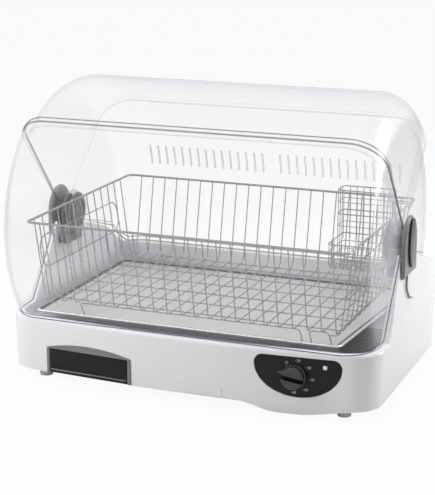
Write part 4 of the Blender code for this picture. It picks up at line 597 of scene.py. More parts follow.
# %% The rule for the base's plan and rim
PIVOT_Y, PIVOT_Z = 0.0050, 0.2090
BASE_HALF, BASE_FRONT, BASE_REAR, BASE_CORNER = 0.2730, -0.1780, 0.1930, 0.0450
BOW_R = 2.1700
RIM_Z, REAR_RIM_Z, SKIRT_Z, DECK_Z = 0.0940, 0.1220, 0.0160, 0.0740
RIM_ROUND, REAR_ROUND, CHEEK_ROUND = 0.0050, 0.0090, 0.0015
SKIRT_DIP, CHEEK_LEAN = 0.0105, 0.0065
DRAFT, WALL, LAND = 0.0012, 0.0045, 0.0130
SEAT_Y, SEAT_DEG, WELL_R, WELL_BACK_DEG = -0.0960, 53.9, 0.0290, 40
CHEEK_BACK = (0.1520, 0.1500)
CORNER_X = BASE_HALF - BASE_CORNER
BOW_Y = BASE_FRONT + BOW_R
FRONT_ARC_Y = BOW_Y - sqrt((BOW_R - BASE_CORNER) ** 2 - CORNER_X**2)
REAR_ARC_Y = BASE_REAR - BASE_CORNER


def ease(t):
    t = min(max(t, 0.0), 1.0)
    return t * t * (3 - 2 * t)


def seat_line_y(z):
    return SEAT_Y + (z - RIM_Z) / sin(radians(SEAT_DEG)) * cos(radians(SEAT_DEG))


def side_rim():
    """(y, rim height) along a side wall, front to back."""
    z = PIVOT_Z - WELL_R
    while hypot(seat_line_y(z) - PIVOT_Y, z - PIVOT_Z) > WELL_R:
        z += 0.0005
    top = (seat_line_y(z), z)
    well_back = PIVOT_Y + WELL_R * cos(radians(WELL_BACK_DEG))
    points = [(SEAT_Y - 0.012, RIM_Z)]
    points += [(SEAT_Y + (top[0] - SEAT_Y) * t, RIM_Z + (top[1] - RIM_Z) * t) for t in spread(0, 1, 10)]
    for y in spread(top[0], well_back, 12)[1:]:
        points.append((y, PIVOT_Z - sqrt(max(WELL_R**2 - (y - PIVOT_Y) ** 2, 0))))
    start = points[-1]
    for t in spread(0, 1, 10)[1:]:
        y = start[0] + (CHEEK_BACK[0] - start[0]) * t
        if y < REAR_ARC_Y - 0.001:
            points.append((y, start[1] + (CHEEK_BACK[1] - start[1]) * t))
    return points


def base_plan():
    """Points (x, y, outward x, outward y, rim height) round the base."""
    lean = degrees(asin(CORNER_X / (BOW_R - BASE_CORNER)))
    side = side_rim()

    def bend(centre, start, end, steps, rim):
        found = []
        for i, t in enumerate(spread(start, end, steps)):
            nx, ny = cos(radians(t)), sin(radians(t))
            found.append((centre[0] + BASE_CORNER * nx, centre[1] + BASE_CORNER * ny, nx, ny, rim(i / steps)))
        return found

    def rear_rim(share):
        return CHEEK_BACK[1] + (REAR_RIM_Z - CHEEK_BACK[1]) * ease(share * 1.5)

    points = [(-BASE_HALF, y, -1.0, 0.0, z) for y, z in reversed(side)]
    points += bend((-CORNER_X, FRONT_ARC_Y), 180, 270 - lean, 14, lambda s: RIM_Z)
    for t in spread(270 - lean, 270 + lean, 60)[1:-1]:
        nx, ny = cos(radians(t)), sin(radians(t))
        points.append((BOW_R * nx, BOW_Y + BOW_R * ny, nx, ny, RIM_Z))
    points += bend((CORNER_X, FRONT_ARC_Y), 270 + lean, 360, 14, lambda s: RIM_Z)
    points += [(BASE_HALF, y, 1.0, 0.0, z) for y, z in side]
    rear = bend((CORNER_X, REAR_ARC_Y), 0, 90, 14, rear_rim)
    points += rear
    for x in spread(CORNER_X, -CORNER_X, 16)[1:-1]:
        points.append((x, BASE_REAR, 0.0, 1.0, REAR_RIM_Z))
    points += [(-x, y, -nx, ny, z) for x, y, nx, ny, z in reversed(rear)]
    return points


PLAN = base_plan()
print("points round the base:", len(PLAN))

# %% [markdown]
# ## The base housing
# The housing is one moulding about 4.5 mm thick. Its skin could be sculpted, but it follows rules: a
# slight draft, a lean on the cheeks, a round rim that is larger at the back, and a smooth dip of the
# bottom edge under the control panel. So rings of points are lofted from the bottom edge over the rim
# and down to the basin, and the openings are cut afterwards.

# %% Rings of the housing
def skirt_z(x, y):
    along = ease((x - 0.0850) / 0.0550) * (1 - ease((x - 0.1650) / 0.0900))
    fade = ease((BASE_FRONT + 0.0880 - y) / 0.0580)
    return SKIRT_Z - SKIRT_DIP * along * fade


def lean_in(z):
    """How far the outer skin leans in at height z."""
    low = DRAFT * (RIM_Z - z) / (RIM_Z - SKIRT_Z)
    return low if z <= RIM_Z else CHEEK_LEAN * (z - RIM_Z) / (PIVOT_Z - WELL_R - RIM_Z)


def rim_round(rim):
    if rim <= RIM_Z + 0.004:
        return RIM_ROUND
    return REAR_ROUND + (CHEEK_ROUND - REAR_ROUND) * ease((rim - REAR_RIM_Z) / (CHEEK_BACK[1] - REAR_RIM_Z))


def ring(rule):
    """The plan moved in and set at a height, both of which the rule gives for each of its points."""
    spots = []
    for x, y, nx, ny, rim in PLAN:
        inset, z = rule(rim, x, y)
        spots.append((x - nx * inset, y - ny * inset, z))
    return spots


def rounding(turn_deg):
    def rule(rim, x, y):
        r = rim_round(rim)
        return lean_in(rim - r) + r * (1 - cos(radians(turn_deg))), rim - r * (1 - sin(radians(turn_deg)))

    return rule


def wall(low, high, share):
    """A row of the outer wall, at a share of the way between two heights that depend on the point."""

    def rule(rim, x, y):
        bottom, top = low(rim, x, y), high(rim, x, y)
        z = bottom + (top - bottom) * share
        return lean_in(z), z

    return rule


def bottom_edge(rim, x, y):
    return skirt_z(x, y)


def cheek_foot(rim, x, y):
    return RIM_Z - RIM_ROUND


def cheek_top(rim, x, y):
    return rim - rim_round(rim)


def housing_mesh():
    rows = [ring(wall(bottom_edge, cheek_foot, s)) for s in spread(0, 1, 5)]
    rows += [ring(wall(cheek_foot, cheek_top, s)) for s in spread(0, 1, 8)[1:]]
    rows += [ring(rounding(t)) for t in spread(0, 90, 6)[1:]]
    rows += [ring(lambda rim, x, y: (LAND - 0.0010, rim)), ring(lambda rim, x, y: (LAND, rim - 0.0010))]
    rows += [ring(lambda rim, x, y: (LAND, DECK_Z + 0.0020)), ring(lambda rim, x, y: (LAND + 0.0020, DECK_Z))]
    under = WALL + DRAFT
    hollow = [ring(lambda rim, x, y: (under, DECK_Z - WALL)), ring(lambda rim, x, y: (under, skirt_z(x, y)))]

    def build(work):
        made = [[work.verts.new(p) for p in row] for row in rows + hollow]
        skin, inside = made[: len(rows)], made[len(rows):]
        for a, b in zip(skin, skin[1:]):
            strip(work, a, b)
        work.faces.new(skin[-1])
        work.faces.new(inside[0])
        strip(work, inside[0], inside[1])
        strip(work, inside[1], skin[0])

    return mesh_from("housing", build)


housing = housing_mesh()
print("housing skin:", len(housing.polygons), "faces")

# %% [markdown]
# ## Openings of the base
# The front has a mouth for the water drawer with a rebate for its bezel, and a half-moon rebate for the
# control panel. Both plates are flat while the front is bowed, so each sits on a chord of the bow, and
# the cutters are placed with the same chord frame.

# %% Cut the openings
DRAWER = (-0.2000, -0.0760, 0.0225, 0.0520)  # left, right, bottom, top
PANEL = (0.1090, 0.2290, 0.0860, 0.0560)  # left, right, top, height
KNOB = (0.1640, 0.0590)  # x, z
LAMP = (0.2060, 0.0745, 0.0056)  # x, z, side
BEZEL_SIDE, BEZEL_CROWN, PANEL_END_R = 0.0050, 0.0090, 0.0120
GAP = 0.0003


def chord_frame(left, right, z):
    r = BOW_R - lean_in(z)
    start, end = asin(left / r), asin(right / r)
    middle = (start + end) / 2
    depth = r * cos((end - start) / 2)
    spot = Vector((depth * sin(middle), BOW_Y - depth * cos(middle), 0))
    return Matrix.Translation(spot) @ Matrix.Rotation(middle, 4, "Z")


BEZEL_FRAME = chord_frame(DRAWER[0] - BEZEL_SIDE, DRAWER[1] + BEZEL_SIDE, SKIRT_Z)
PANEL_FRAME = chord_frame(PANEL[0], PANEL[1], PANEL[2] - PANEL[3])


def bezel_outline(grow=0.0, steps=24):
    half = (DRAWER[1] - DRAWER[0]) / 2 + BEZEL_SIDE + grow
    low = SKIRT_Z + GAP if not grow else SKIRT_Z - 0.0040
    spring = DRAWER[3] + 0.0012 + grow
    radius = (half**2 + BEZEL_CROWN**2) / (2 * BEZEL_CROWN)
    turn = degrees(asin(half / radius))
    crown = arc((0, spring + BEZEL_CROWN - radius), radius, 90 - turn, 90 + turn, steps)
    return [(-half, low), (half, low)] + crown


def panel_outline(grow, steps=40):
    half = (PANEL[1] - PANEL[0]) / 2 + grow
    shoulder = PANEL[2] - PANEL_END_R
    depth = shoulder - (PANEL[2] - PANEL[3] - grow)
    belly = [(half * cos(radians(t)), shoulder + depth * sin(radians(t))) for t in spread(180, 360, steps)]
    end_r = PANEL_END_R + grow
    right = arc((half - end_r, shoulder), end_r, 0, 90, 8)[1:]
    left = arc((end_r - half, shoulder), end_r, 90, 180, 8)[:-1]
    return belly + right + left


def panel_x(x):
    """A place across the front, counted from the middle of the panel."""
    return x - (PANEL[0] + PANEL[1]) / 2


def arch(half, rise, drop, steps):
    """A half round head over a straight foot, about the hub's axis, as points (y, z)."""
    turns = [pi * i / steps for i in range(steps + 1)]
    head = [(PIVOT_Y + half * cos(t), PIVOT_Z + rise * sin(t)) for t in turns]
    return head + [(PIVOT_Y - half, PIVOT_Z - drop), (PIVOT_Y + half, PIVOT_Z - drop)]


HUB_IN = 0.2660
LAMP_X, LAMP_HALF = panel_x(LAMP[0]), LAMP[2] / 2 + GAP
hub_rebate = arch(0.0330 + GAP, 0.0385 + GAP, 0.0450 + GAP, 28)
drawer_mouth = box_mesh((DRAWER[0] - 0.001, BASE_FRONT - 0.004, DRAWER[2] - 0.001),
                        (DRAWER[1] + 0.001, BASE_FRONT + 0.028, DRAWER[3] + 0.001))
lamp_hole = box_mesh((LAMP_X - LAMP_HALF, -0.004, LAMP[1] - LAMP_HALF),
                     (LAMP_X + LAMP_HALF, 0.0093, LAMP[1] + LAMP_HALF))
shaft_hole = rod_mesh((panel_x(KNOB[0]), -0.004, KNOB[1]), 0.0140, 0.0060, "Y", 24)
outlet_hole = box_mesh((0.2100, -0.1360, 0.0640), (0.2500, -0.0900, 0.0800))
drain_hole = rod_mesh((-0.1380, -0.1500, 0.0660), 0.0120, 0.0050, "Z", 24)
gland_hole = rod_mesh((0.1500, 0.1790, 0.0400), 0.0280, 0.0088, "Y", 24)
cutters = [
    drawer_mouth,
    placed(prism_mesh(bezel_outline(GAP), -0.0140, 0.0025, "Y"), BEZEL_FRAME),
    placed(prism_mesh(panel_outline(GAP), -0.0140, 0.0029, "Y"), PANEL_FRAME),
    placed(shaft_hole, PANEL_FRAME),
    placed(lamp_hole, PANEL_FRAME),
    outlet_hole,
    drain_hole,
    gland_hole,
]
cutters += [on_side(prism_mesh(hub_rebate, HUB_IN - GAP, BASE_HALF + 0.004, "X"), side) for side in (-1, 1)]
housing = combined(housing, cutters)
print("housing after its openings:", len(housing.polygons), "faces")

# %% [markdown]
# ## Bosses, runners and ledges
# Under the deck stand four screw bosses and the drawer's two runners, and on the basin's floor four low
# ribs carry the drip tray. A small flat pad stands proud of the front, low beside the drawer. All are
# plain shapes pressed into the skin, so they are simply fused to it.

# %% Fuse the inner features
BOSSES = ((-0.2350, -0.1120), (0.0950, -0.1200), (-0.2150, 0.1300), (0.2150, 0.1300))
RIB_X, RIB_HALF, RIB_TOP, DECK_SINK = 0.1728, 0.0045, 0.0877, 0.0718
RIB_SPANS = ((-0.0850, -0.0650), (0.0885, 0.1665))
RUNNER_ASIDE, RUNNER_HALF = 0.00225, 0.00125
inner = [rod_mesh((x, y, 0.0203), 0.0512, 0.0050, "Z", 20) for x, y in BOSSES]
for x in (DRAWER[0] - RUNNER_ASIDE, DRAWER[1] + RUNNER_ASIDE):
    inner.append(box_mesh((x - RUNNER_HALF, BASE_FRONT + 0.016, DRAWER[2]),
                          (x + RUNNER_HALF, BASE_FRONT + 0.120, DECK_SINK)))
for x in (-RIB_X, RIB_X):
    for start, end in RIB_SPANS:
        inner.append(box_mesh((x - RIB_HALF, start, DECK_SINK), (x + RIB_HALF, end, RIB_TOP)))
pad = prism_mesh(rounded_box((-0.0345, 0.0190), (0.0345, 0.0310), 0.0030), -0.0012, 0.0022, "Y")
inner.append(placed(pad, chord_frame(-0.0060, 0.0630, 0.0190)))
housing = combined(housing, inner, "UNION")
housing = combined(housing, [rod_mesh((x, y, 0.0175), 0.0120, 0.0020, "Z", 12) for x, y in BOSSES])
stand_in("base_housing", housing, 28)

# %% [markdown]
# ## Shells of the hood
# Each cover is a section swept about the hub axis: up the side wall, round a 46 mm corner and across
# the top. The sweep of each point of the section starts and stops by its own rule, because the front
# cover's foot follows the slanted seat of the base. The lips are part of the same skin, as in a
# moulding: near an edge the outer face steps out by 1.8 mm and back over a width of 9 mm. Each row of
# an edge says how far in it lies, how far out, and which finish the strip after it takes: clear, dark
# edge or faint edge. The dark line across the hood is the front cover's upper lip.

# %% The hood's section and edges
FILLET, SHEET = 0.0460, 0.0024
LIP_WIDTH, LIP_PROUD = 0.0090, 0.0018
EAR_R, EAR_WALL, EAR_HOLE_R = 0.0260, 0.0034, 0.0105
HOOD = {"front": (0.2650, 0.2095), "top": (0.2590, 0.2045), "rear": (0.2530, 0.1995)}
FRONT_TOP_DEG, TOP_FRONT_DEG, TOP_REAR_DEG, REAR_TOP_DEG = 51.5, 48.5, 134.0, 131.5
CLEAR, DARK, PALE = 0, 1, 2


def hood_section(half, radius):
    """Points (x, radius, outward x, outward r) from the right ear over the top to the left ear."""
    right = [(half, r, 1.0, 0.0) for r in spread(EAR_R * 0.7, radius - FILLET, 12)]
    for t in spread(0, 90, 16)[1:]:
        nx, nr = cos(radians(t)), sin(radians(t))
        right.append((half - FILLET + FILLET * nx, radius - FILLET + FILLET * nr, nx, nr))
    right += [(x, radius, 0.0, 1.0) for x in spread(half - FILLET, 0, 14)[1:]]
    return right + [(-x, r, -nx, nr) for x, r, nx, nr in reversed(right[:-1])]


def first_below(rule, r, start_deg, end_deg):
    """The angle at which a point at radius r first drops below the rule's height."""

    def above(t):
        y, z = PIVOT_Y - r * cos(radians(t)), PIVOT_Z + r * sin(radians(t))
        return z - rule(y)

    step = 1.0 if end_deg > start_deg else -1.0
    t = start_deg
    while above(t) > 0 and abs(t - start_deg) < abs(end_deg - start_deg):
        t += step
    low, high = t - step, t
    for _ in range(24):
        middle = (low + high) / 2
        if above(middle) > 0:
            low = middle
        else:
            high = middle
    return low


def lip(shoulder, finishes):
    """Rows of a lip that nears its full height at the shoulder."""
    rise = ((0.0, 0.45), (shoulder, 0.85), (0.0012, 1.0))
    fall = ((LIP_WIDTH - 0.0016, 1.0), (LIP_WIDTH - 0.0008, 0.7), (LIP_WIDTH, 0.0))
    return [(along, LIP_PROUD * share, kind) for (along, share), kind in zip(rise + fall, finishes)]


FAINT = lip(0.0006, (PALE, CLEAR, CLEAR, CLEAR, CLEAR, CLEAR))
BEAD = lip(0.0005, (DARK, DARK, CLEAR, DARK, DARK, CLEAR))
FOOT_PROUD = LIP_PROUD * 0.45
FOOT = ((0.0, 0.0, DARK), (0.0027, 0.0, CLEAR), (0.0034, FOOT_PROUD, CLEAR), (0.0068, FOOT_PROUD, DARK),
        (0.0086, 0.0, CLEAR))


def hood_shell(word, low, high, low_edge, high_edge, middle=36):
    """A cover from the angle low to the angle high, each given for a radius, with an edge at either end."""
    half, radius = HOOD[word]
    section = hood_section(half, radius)
    count = len(section)

    def angles(r):
        start, end = low(r), high(r)
        turns = [(start + degrees(along / radius), proud) for along, proud, _ in low_edge]
        last = [(end - degrees(along / radius), proud) for along, proud, _ in reversed(high_edge)]
        turns += [(t, 0.0) for t in spread(turns[-1][0], last[0][0], middle)[1:-1]]
        return turns + last

    def spot(point, turn, offset):
        x, r, nx, nr = point
        r += nr * offset
        return (x + nx * offset, PIVOT_Y - r * cos(radians(turn)), PIVOT_Z + r * sin(radians(turn)))

    def build(work):
        turns = [angles(r) for _, r, _, _ in section]
        rows = len(turns[0])
        strips = [kind for _, _, kind in low_edge[:-1]]
        strips += [CLEAR] * (rows - len(low_edge) - len(high_edge) + 1)
        strips += [kind for _, _, kind in reversed(high_edge[:-1])]
        outer = [[work.verts.new(spot(section[i], *turns[i][j])) for i in range(count)] for j in range(rows)]
        inside = []
        for j in range(rows):
            skin = -SHEET * (0.7 if j in (0, rows - 1) else 1.0)
            inside.append([work.verts.new(spot(section[i], turns[i][j][0], skin)) for i in range(count)])
        for j in range(rows - 1):
            for i in range(count - 1):
                skin = work.faces.new((outer[j][i], outer[j][i + 1], outer[j + 1][i + 1], outer[j + 1][i]))
                skin.material_index = strips[j]
                work.faces.new((inside[j][i], inside[j + 1][i], inside[j + 1][i + 1], inside[j][i + 1]))
            for i in (0, count - 1):
                work.faces.new((outer[j][i], outer[j + 1][i], inside[j + 1][i], inside[j][i]))
        for j in (0, rows - 1):
            for i in range(count - 1):
                end_face = work.faces.new((outer[j][i], inside[j][i], inside[j][i + 1], outer[j][i + 1]))
                end_face.material_index = strips[0] if j == 0 else strips[-1]

    return mesh_from("hood", build)


def ear(half, side):
    """The flat ring at the end of a cover that turns on the hub's pin."""
    middle = half - SHEET / 2
    low, high, ease_r = middle - EAR_WALL / 2, middle + EAR_WALL / 2, 0.0006
    profile = [(low, EAR_HOLE_R), (high, EAR_HOLE_R), (high, EAR_R - ease_r), (high - ease_r, EAR_R),
               (low + ease_r, EAR_R), (low, EAR_R - ease_r)]
    return on_side(placed(turned_mesh(profile, 48), Matrix.Translation((0, PIVOT_Y, PIVOT_Z))), side)


def seat_height(y):
    """Height of the seat under the front cover at y."""
    rim = RIM_Z + GAP
    return rim + max(y - SEAT_Y + 2 * GAP, 0) * sin(radians(SEAT_DEG)) / cos(radians(SEAT_DEG))


def rear_height(y):
    """Height of what lies under the rear cover's foot at y."""
    rear_z, lift = REAR_RIM_Z + GAP, 2 * GAP
    well_y = PIVOT_Y + WELL_R * cos(radians(WELL_BACK_DEG))
    well_z = PIVOT_Z - WELL_R * sin(radians(WELL_BACK_DEG))
    slope = (CHEEK_BACK[1] - well_z) / (CHEEK_BACK[0] - well_y)
    knee = (BASE_REAR - BASE_CORNER, CHEEK_BACK[1] + lift)
    foot = (BASE_REAR - LAND * 1.6, rear_z)
    if y <= knee[0]:
        return CHEEK_BACK[1] + lift + slope * (y - CHEEK_BACK[0])
    if y <= foot[0]:
        return knee[1] + (foot[1] - knee[1]) * (y - knee[0]) / (foot[0] - knee[0])
    return rear_z


print("section points of the front cover:", len(hood_section(*HOOD["front"])))

# %% The three covers
@cache
def front_foot(r):
    return first_below(seat_height, r, FRONT_TOP_DEG, -120)


@cache
def rear_foot(r):
    return first_below(rear_height, r, REAR_TOP_DEG, 300)


def add_cover(word, shell, edges=("clear_edge", "faint_edge")):
    """A cover with its ears. Its shadow is left out, because so clear a sheet hardly casts one."""
    half = HOOD[word][0]
    item = stand_in(f"{word}_cover", joined([shell, ear(half, -1), ear(half, 1)]), 40, edges)
    item.visible_shadow = False


front = hood_shell("front", front_foot, lambda r: FRONT_TOP_DEG, FOOT, BEAD)
top = hood_shell("top", lambda r: TOP_FRONT_DEG, lambda r: TOP_REAR_DEG, FAINT, FAINT)
rear = hood_shell("rear", lambda r: REAR_TOP_DEG, rear_foot, FAINT, FOOT)
add_cover("front", front)
add_cover("top", top)

# %% [markdown]
# ## Rows of anything
# Slots, basket wires and louvre slats all repeat at an even step. One Geometry Nodes tree makes a row of
# wires: it takes a path, rounds its bends, gives it a round section, and sets it out along a line. A
# second tree sets out a solid in the same way. Their sizes are named inputs of the trees.

# %% Trees for rows
class Tree(Sheet):
    """A Geometry Nodes tree with named inputs."""

    def __init__(self, name, inputs):
        group = bpy.data.node_groups.new(name, "GeometryNodeTree")
        super().__init__(group)
        group.interface.new_socket("Geometry", in_out="INPUT", socket_type="NodeSocketGeometry")
        self.keys = {}
        for label, kind in inputs:
            made = group.interface.new_socket(label, in_out="INPUT", socket_type=f"NodeSocket{kind}")
            self.keys[label] = made.identifier
        group.interface.new_socket("Geometry", in_out="OUTPUT", socket_type="NodeSocketGeometry")
        self.entry = group.nodes.new("NodeGroupInput")
        self.exit = group.nodes.new("NodeGroupOutput")

    def given(self, label):
        return Term(self, self.entry.outputs[label])

    def row_of(self, shape):
        line = self.node("GeometryNodeMeshLine", {"mode": "OFFSET"}, {
            "Count": self.given("Count"), "Offset": self.given("Step")})
        return self.node("GeometryNodeInstanceOnPoints", {}, {"Points": line, "Instance": shape})

    def deliver(self, shape):
        solid = self.node("GeometryNodeRealizeInstances", {}, {"Geometry": shape})
        dressed = self.node("GeometryNodeSetMaterial", {}, {
            "Geometry": solid, "Material": self.given("Finish")})
        self.tree.links.new(dressed.socket, self.exit.inputs[0])
        return self


def wire_row_tree():
    tree = Tree("wire_row", (("Count", "Int"), ("Step", "Vector"), ("Thickness", "Float"), ("Bend", "Float"),
                             ("Sides", "Int"), ("Finish", "Material")))
    path = tree.node("GeometryNodeMeshToCurve", {}, {"Mesh": tree.given("Geometry")})
    bent = tree.node("GeometryNodeFilletCurve", {"mode": "POLY"}, {
        "Curve": path, "Count": 4, "Radius": tree.given("Bend"), "Limit Radius": True})
    section = tree.node("GeometryNodeCurvePrimitiveCircle", {"mode": "RADIUS"}, {
        "Resolution": tree.given("Sides"), "Radius": tree.given("Thickness") * 0.5})
    wire = tree.node("GeometryNodeCurveToMesh", {}, {
        "Curve": bent, "Profile Curve": section, "Fill Caps": True})
    return tree.deliver(tree.row_of(wire))


def solid_row_tree():
    tree = Tree("solid_row", (("Count", "Int"), ("Step", "Vector"), ("Finish", "Material")))
    return tree.deliver(tree.row_of(tree.given("Geometry")))


WIRE_ROW = wire_row_tree()
SOLID_ROW = solid_row_tree()


def grown(tree, mesh, values):
    """The plain mesh that a tree makes of mesh with these input values."""
    item = linked("row", mesh)
    made = item.modifiers.new("rule", "NODES")
    made.node_group = tree.tree
    for label, value in values.items():
        made[tree.keys[label]] = value
    result = settled(item)
    work = bmesh.new()
    work.from_mesh(result)
    bmesh.ops.recalc_face_normals(work, faces=work.faces)
    work.to_mesh(result)
    work.free()
    return result


def path_mesh(points, closed=False):
    mesh = bpy.data.meshes.new("path")
    edges = [(i, i + 1) for i in range(len(points) - 1)]
    mesh.from_pydata(points, edges + ([(len(points) - 1, 0)] if closed else []), [])
    return mesh


def wires(points, thickness, count=1, step=(0.0, 0.0, 0.0), bend=0.009, closed=False, sides=8):
    return grown(WIRE_ROW, path_mesh(points, closed), {
        "Count": count, "Step": step, "Thickness": thickness, "Bend": bend, "Sides": sides,
        "Finish": FINISHES["chromed_wire"]})


print("row trees:", WIRE_ROW.tree.name, SOLID_ROW.tree.name)

# %% [markdown]
# ## Exhaust slots of the rear cover
# Damp air leaves through two groups of fifteen narrow slots high on the rear cover. One cutter is set
# out fifteen times by the row tree, so a group is cut in one go.

# %% Cut the slots
SLOT_COUNT, SLOT_PITCH, SLOT_FIRST, SLOT_WIDTH = 15, 0.0135, 0.0145, 0.0018
SLOT_DEG = (159.4, 168.6)


def slot_group(side):
    half, radius = HOOD["rear"]
    length = radius * radians(SLOT_DEG[1] - SLOT_DEG[0])
    outline = rounded_box((-SLOT_WIDTH / 2, -length / 2), (SLOT_WIDTH / 2, length / 2), SLOT_WIDTH * 0.49, 3)
    cutter = prism_mesh(outline, radius - 0.008, radius + 0.004, "Y")
    turn = Matrix.Rotation(pi - radians(sum(SLOT_DEG) / 2), 4, "X")
    cutter.transform(Matrix.Translation((side * SLOT_FIRST, PIVOT_Y, PIVOT_Z)) @ turn)
    row = grown(SOLID_ROW, cutter, {
        "Count": SLOT_COUNT, "Step": (side * SLOT_PITCH, 0, 0), "Finish": FINISHES["slot_edge"]})
    return with_finishes(row, REAR_FINISHES, [REAR_FINISHES.index("slot_edge")] * len(row.polygons))


REAR_FINISHES = ("clear_plastic", "clear_edge", "faint_edge", "slot_edge")
rear = with_finishes(rear, REAR_FINISHES)
add_cover("rear", combined(rear, [slot_group(-1), slot_group(1)]), REAR_FINISHES[1:])

# %% [markdown]
# ## The dish basket
# The basket is welded from drawn wire: a thick rim, twenty-two U-shaped wires from front to back, bars
# across its floor, uprights at the sides, a loop on each side as a handle, and bent feet, of which the
# front ones lean back onto the tray. Every group is one path set out in a row, so the row tree makes
# the whole basket from a few short lists of points.

# %% Weld the dish basket
BASKET_HALF, BASKET_FRONT, BASKET_REAR = 0.2335, -0.1650, 0.1770
RIM_TOP, FLOOR_Z = 0.2310, 0.1130
LEAN, SIDE_LEAN = 0.0240, 0.0160
RIM_WIRE, WIRE = 0.0034, 0.0018
WELD = WIRE * 0.7
UNDER = FLOOR_Z - WELD
LONG_WIRES, LONG_PITCH = 22, 0.0202
CROSS_WIRES, CROSS_FIRST, CROSS_PITCH = 6, -0.118, 0.047
UPRIGHTS, UPRIGHT_FIRST, UPRIGHT_TURN = 7, -0.1415, 0.016
LOOP_FRONT, LOOP_REAR, LOOP_LOW, LOOP_HIGH = -0.138, 0.113, 0.158, 0.203
FOOT_BARS, FOOT_IN, FOOT_ON_TRAY = ((-0.1690, 0.1580), (0.1710, 0.1990)), 0.009, 0.0050
TRAY_TOP, TRAY_FRONT = 0.0905, -0.1240


def side_x(z):
    return BASKET_HALF - SIDE_LEAN * (RIM_TOP - z) / (RIM_TOP - FLOOR_Z) - WELD


def rectangle(x0, x1, y0, y1, z):
    return [(x0, y0, z), (x1, y0, z), (x1, y1, z), (x0, y1, z)]


def dish_basket():
    half, front_y, rear_y = BASKET_HALF, BASKET_FRONT, BASKET_REAR
    foot = half - SIDE_LEAN
    rim = rectangle(-half, half, front_y, rear_y, RIM_TOP)
    groups = [wires(rim, RIM_WIRE, bend=0.010, closed=True, sides=12)]
    x = -LONG_PITCH * ((LONG_WIRES - 1) / 2)
    along = [(x, front_y, RIM_TOP), (x, front_y + LEAN, FLOOR_Z),
             (x, rear_y - LEAN, FLOOR_Z), (x, rear_y, RIM_TOP)]
    groups.append(wires(along, WIRE, LONG_WIRES, (LONG_PITCH, 0, 0)))
    y = CROSS_FIRST
    across = [(-half, y, RIM_TOP), (-foot, y, UNDER), (foot, y, UNDER), (half, y, RIM_TOP)]
    groups.append(wires(across, WIRE, CROSS_WIRES, (0, CROSS_PITCH, 0)))
    y = UPRIGHT_FIRST
    for side in (-1, 1):
        upright = [(half, y, RIM_TOP), (foot, y, UNDER), (foot - UPRIGHT_TURN, y, UNDER)]
        groups.append(wires([(side * x, y, z) for x, y, z in upright], WIRE, UPRIGHTS, (0, CROSS_PITCH, 0)))
        ends = ((LOOP_FRONT, LOOP_LOW), (LOOP_REAR, LOOP_LOW), (LOOP_REAR, LOOP_HIGH), (LOOP_FRONT, LOOP_HIGH))
        loop = [(side * side_x(z), y, z) for y, z in ends]
        groups.append(wires(loop, WIRE, bend=0.018, closed=True))
    stand = TRAY_TOP + GAP + WIRE / 2
    front_bar, rear_bar = front_y + LEAN + FOOT_IN, rear_y - LEAN - FOOT_IN
    for y, foot_y in ((front_bar, TRAY_FRONT + FOOT_ON_TRAY), (rear_bar, rear_bar)):
        for x0, x1 in FOOT_BARS:
            leg = [(x0, foot_y, stand), (x0, y, UNDER), (x1, y, UNDER), (x1, foot_y, stand)]
            groups.append(wires(leg, WIRE, bend=0.006))
    return joined(groups)


stand_in("dish_basket", dish_basket(), 50)

# %% [markdown]
# ## The cutlery basket
# A small, closer-woven basket hangs by two hooks from the dish basket's right rim. Its mesh is thin wire
# in rows both ways, so it is made with the same tree at a finer pitch.

# %% Weld the cutlery basket
def cutlery_basket():
    left, right, front_y, step_y, rear_y = 0.1300, 0.2120, 0.0750, 0.1190, 0.1520
    low, mid, high = 0.1400, 0.1760, 0.2480
    thick, fine, bend, cells = 0.0018, 0.0012, 0.006, 8
    groups = []
    for z, y0, size in ((low + 0.012, front_y, fine), (low + 0.024, front_y, fine), (mid, front_y, thick),
                        (mid + 0.018, step_y, fine), (mid + 0.036, step_y, thick),
                        (mid + 0.054, step_y, fine), (high, step_y, thick)):
        groups.append(wires(rectangle(left, right, y0, rear_y, z), size, bend=bend, closed=True))
    pitch = (right - left) / cells
    x = left + pitch
    along = [(x, front_y, mid), (x, front_y, low), (x, rear_y, low), (x, rear_y, high)]
    groups.append(wires(along, fine, cells - 1, (pitch, 0, 0), bend))
    groups.append(wires([(x, step_y, mid), (x, step_y, high)], fine, cells - 1, (pitch, 0, 0)))
    under = low - fine * 0.7
    for y, crest in ((front_y + 0.008, mid), (front_y + 0.020, mid), (front_y + 0.032, mid),
                     (step_y + 0.006, high), (step_y + 0.0165, high), (rear_y - 0.006, high)):
        across = [(left, y, crest), (left, y, under), (right, y, under), (right, y, crest)]
        groups.append(wires(across, fine, bend=bend))
    outer = BASKET_HALF + RIM_WIRE / 2 + thick / 2 + GAP
    over = RIM_TOP + RIM_WIRE / 2 + thick / 2 + GAP
    for y in (step_y + 0.010, rear_y - 0.010):
        hook = [(right, y, 0.210), (right, y, over), (outer, y, over), (outer, y, over - 0.008)]
        groups.append(wires(hook, thick, bend=0.002))
    return joined(groups)


stand_in("cutlery_basket", cutlery_basket(), 50)

# %% [markdown]
# ## Drip tray
# The stainless plate under the baskets catches the drops. Its edge is folded under and stands up as a
# narrow raised hem. The hem's slanted outer face and top get a painted highlight, a bright finish in place
# of a glint, and the fold inside it and the face below the slant get painted shade as dark lines. Rings of
# one outline, each a little further in, are lofted over it. The right side slants because the warm-air
# outlet is beside it.

# %% Fold the tray
TRAY_LEFT, TRAY_REAR, TRAY_RIGHT_FRONT, TRAY_RIGHT_REAR = -0.2465, 0.1740, 0.2135, 0.2330
TRAY_CORNERS = ((TRAY_LEFT, TRAY_FRONT, 180), (TRAY_RIGHT_FRONT, TRAY_FRONT, 270),
                (TRAY_RIGHT_REAR, TRAY_REAR, 0), (TRAY_LEFT, TRAY_REAR, 90))


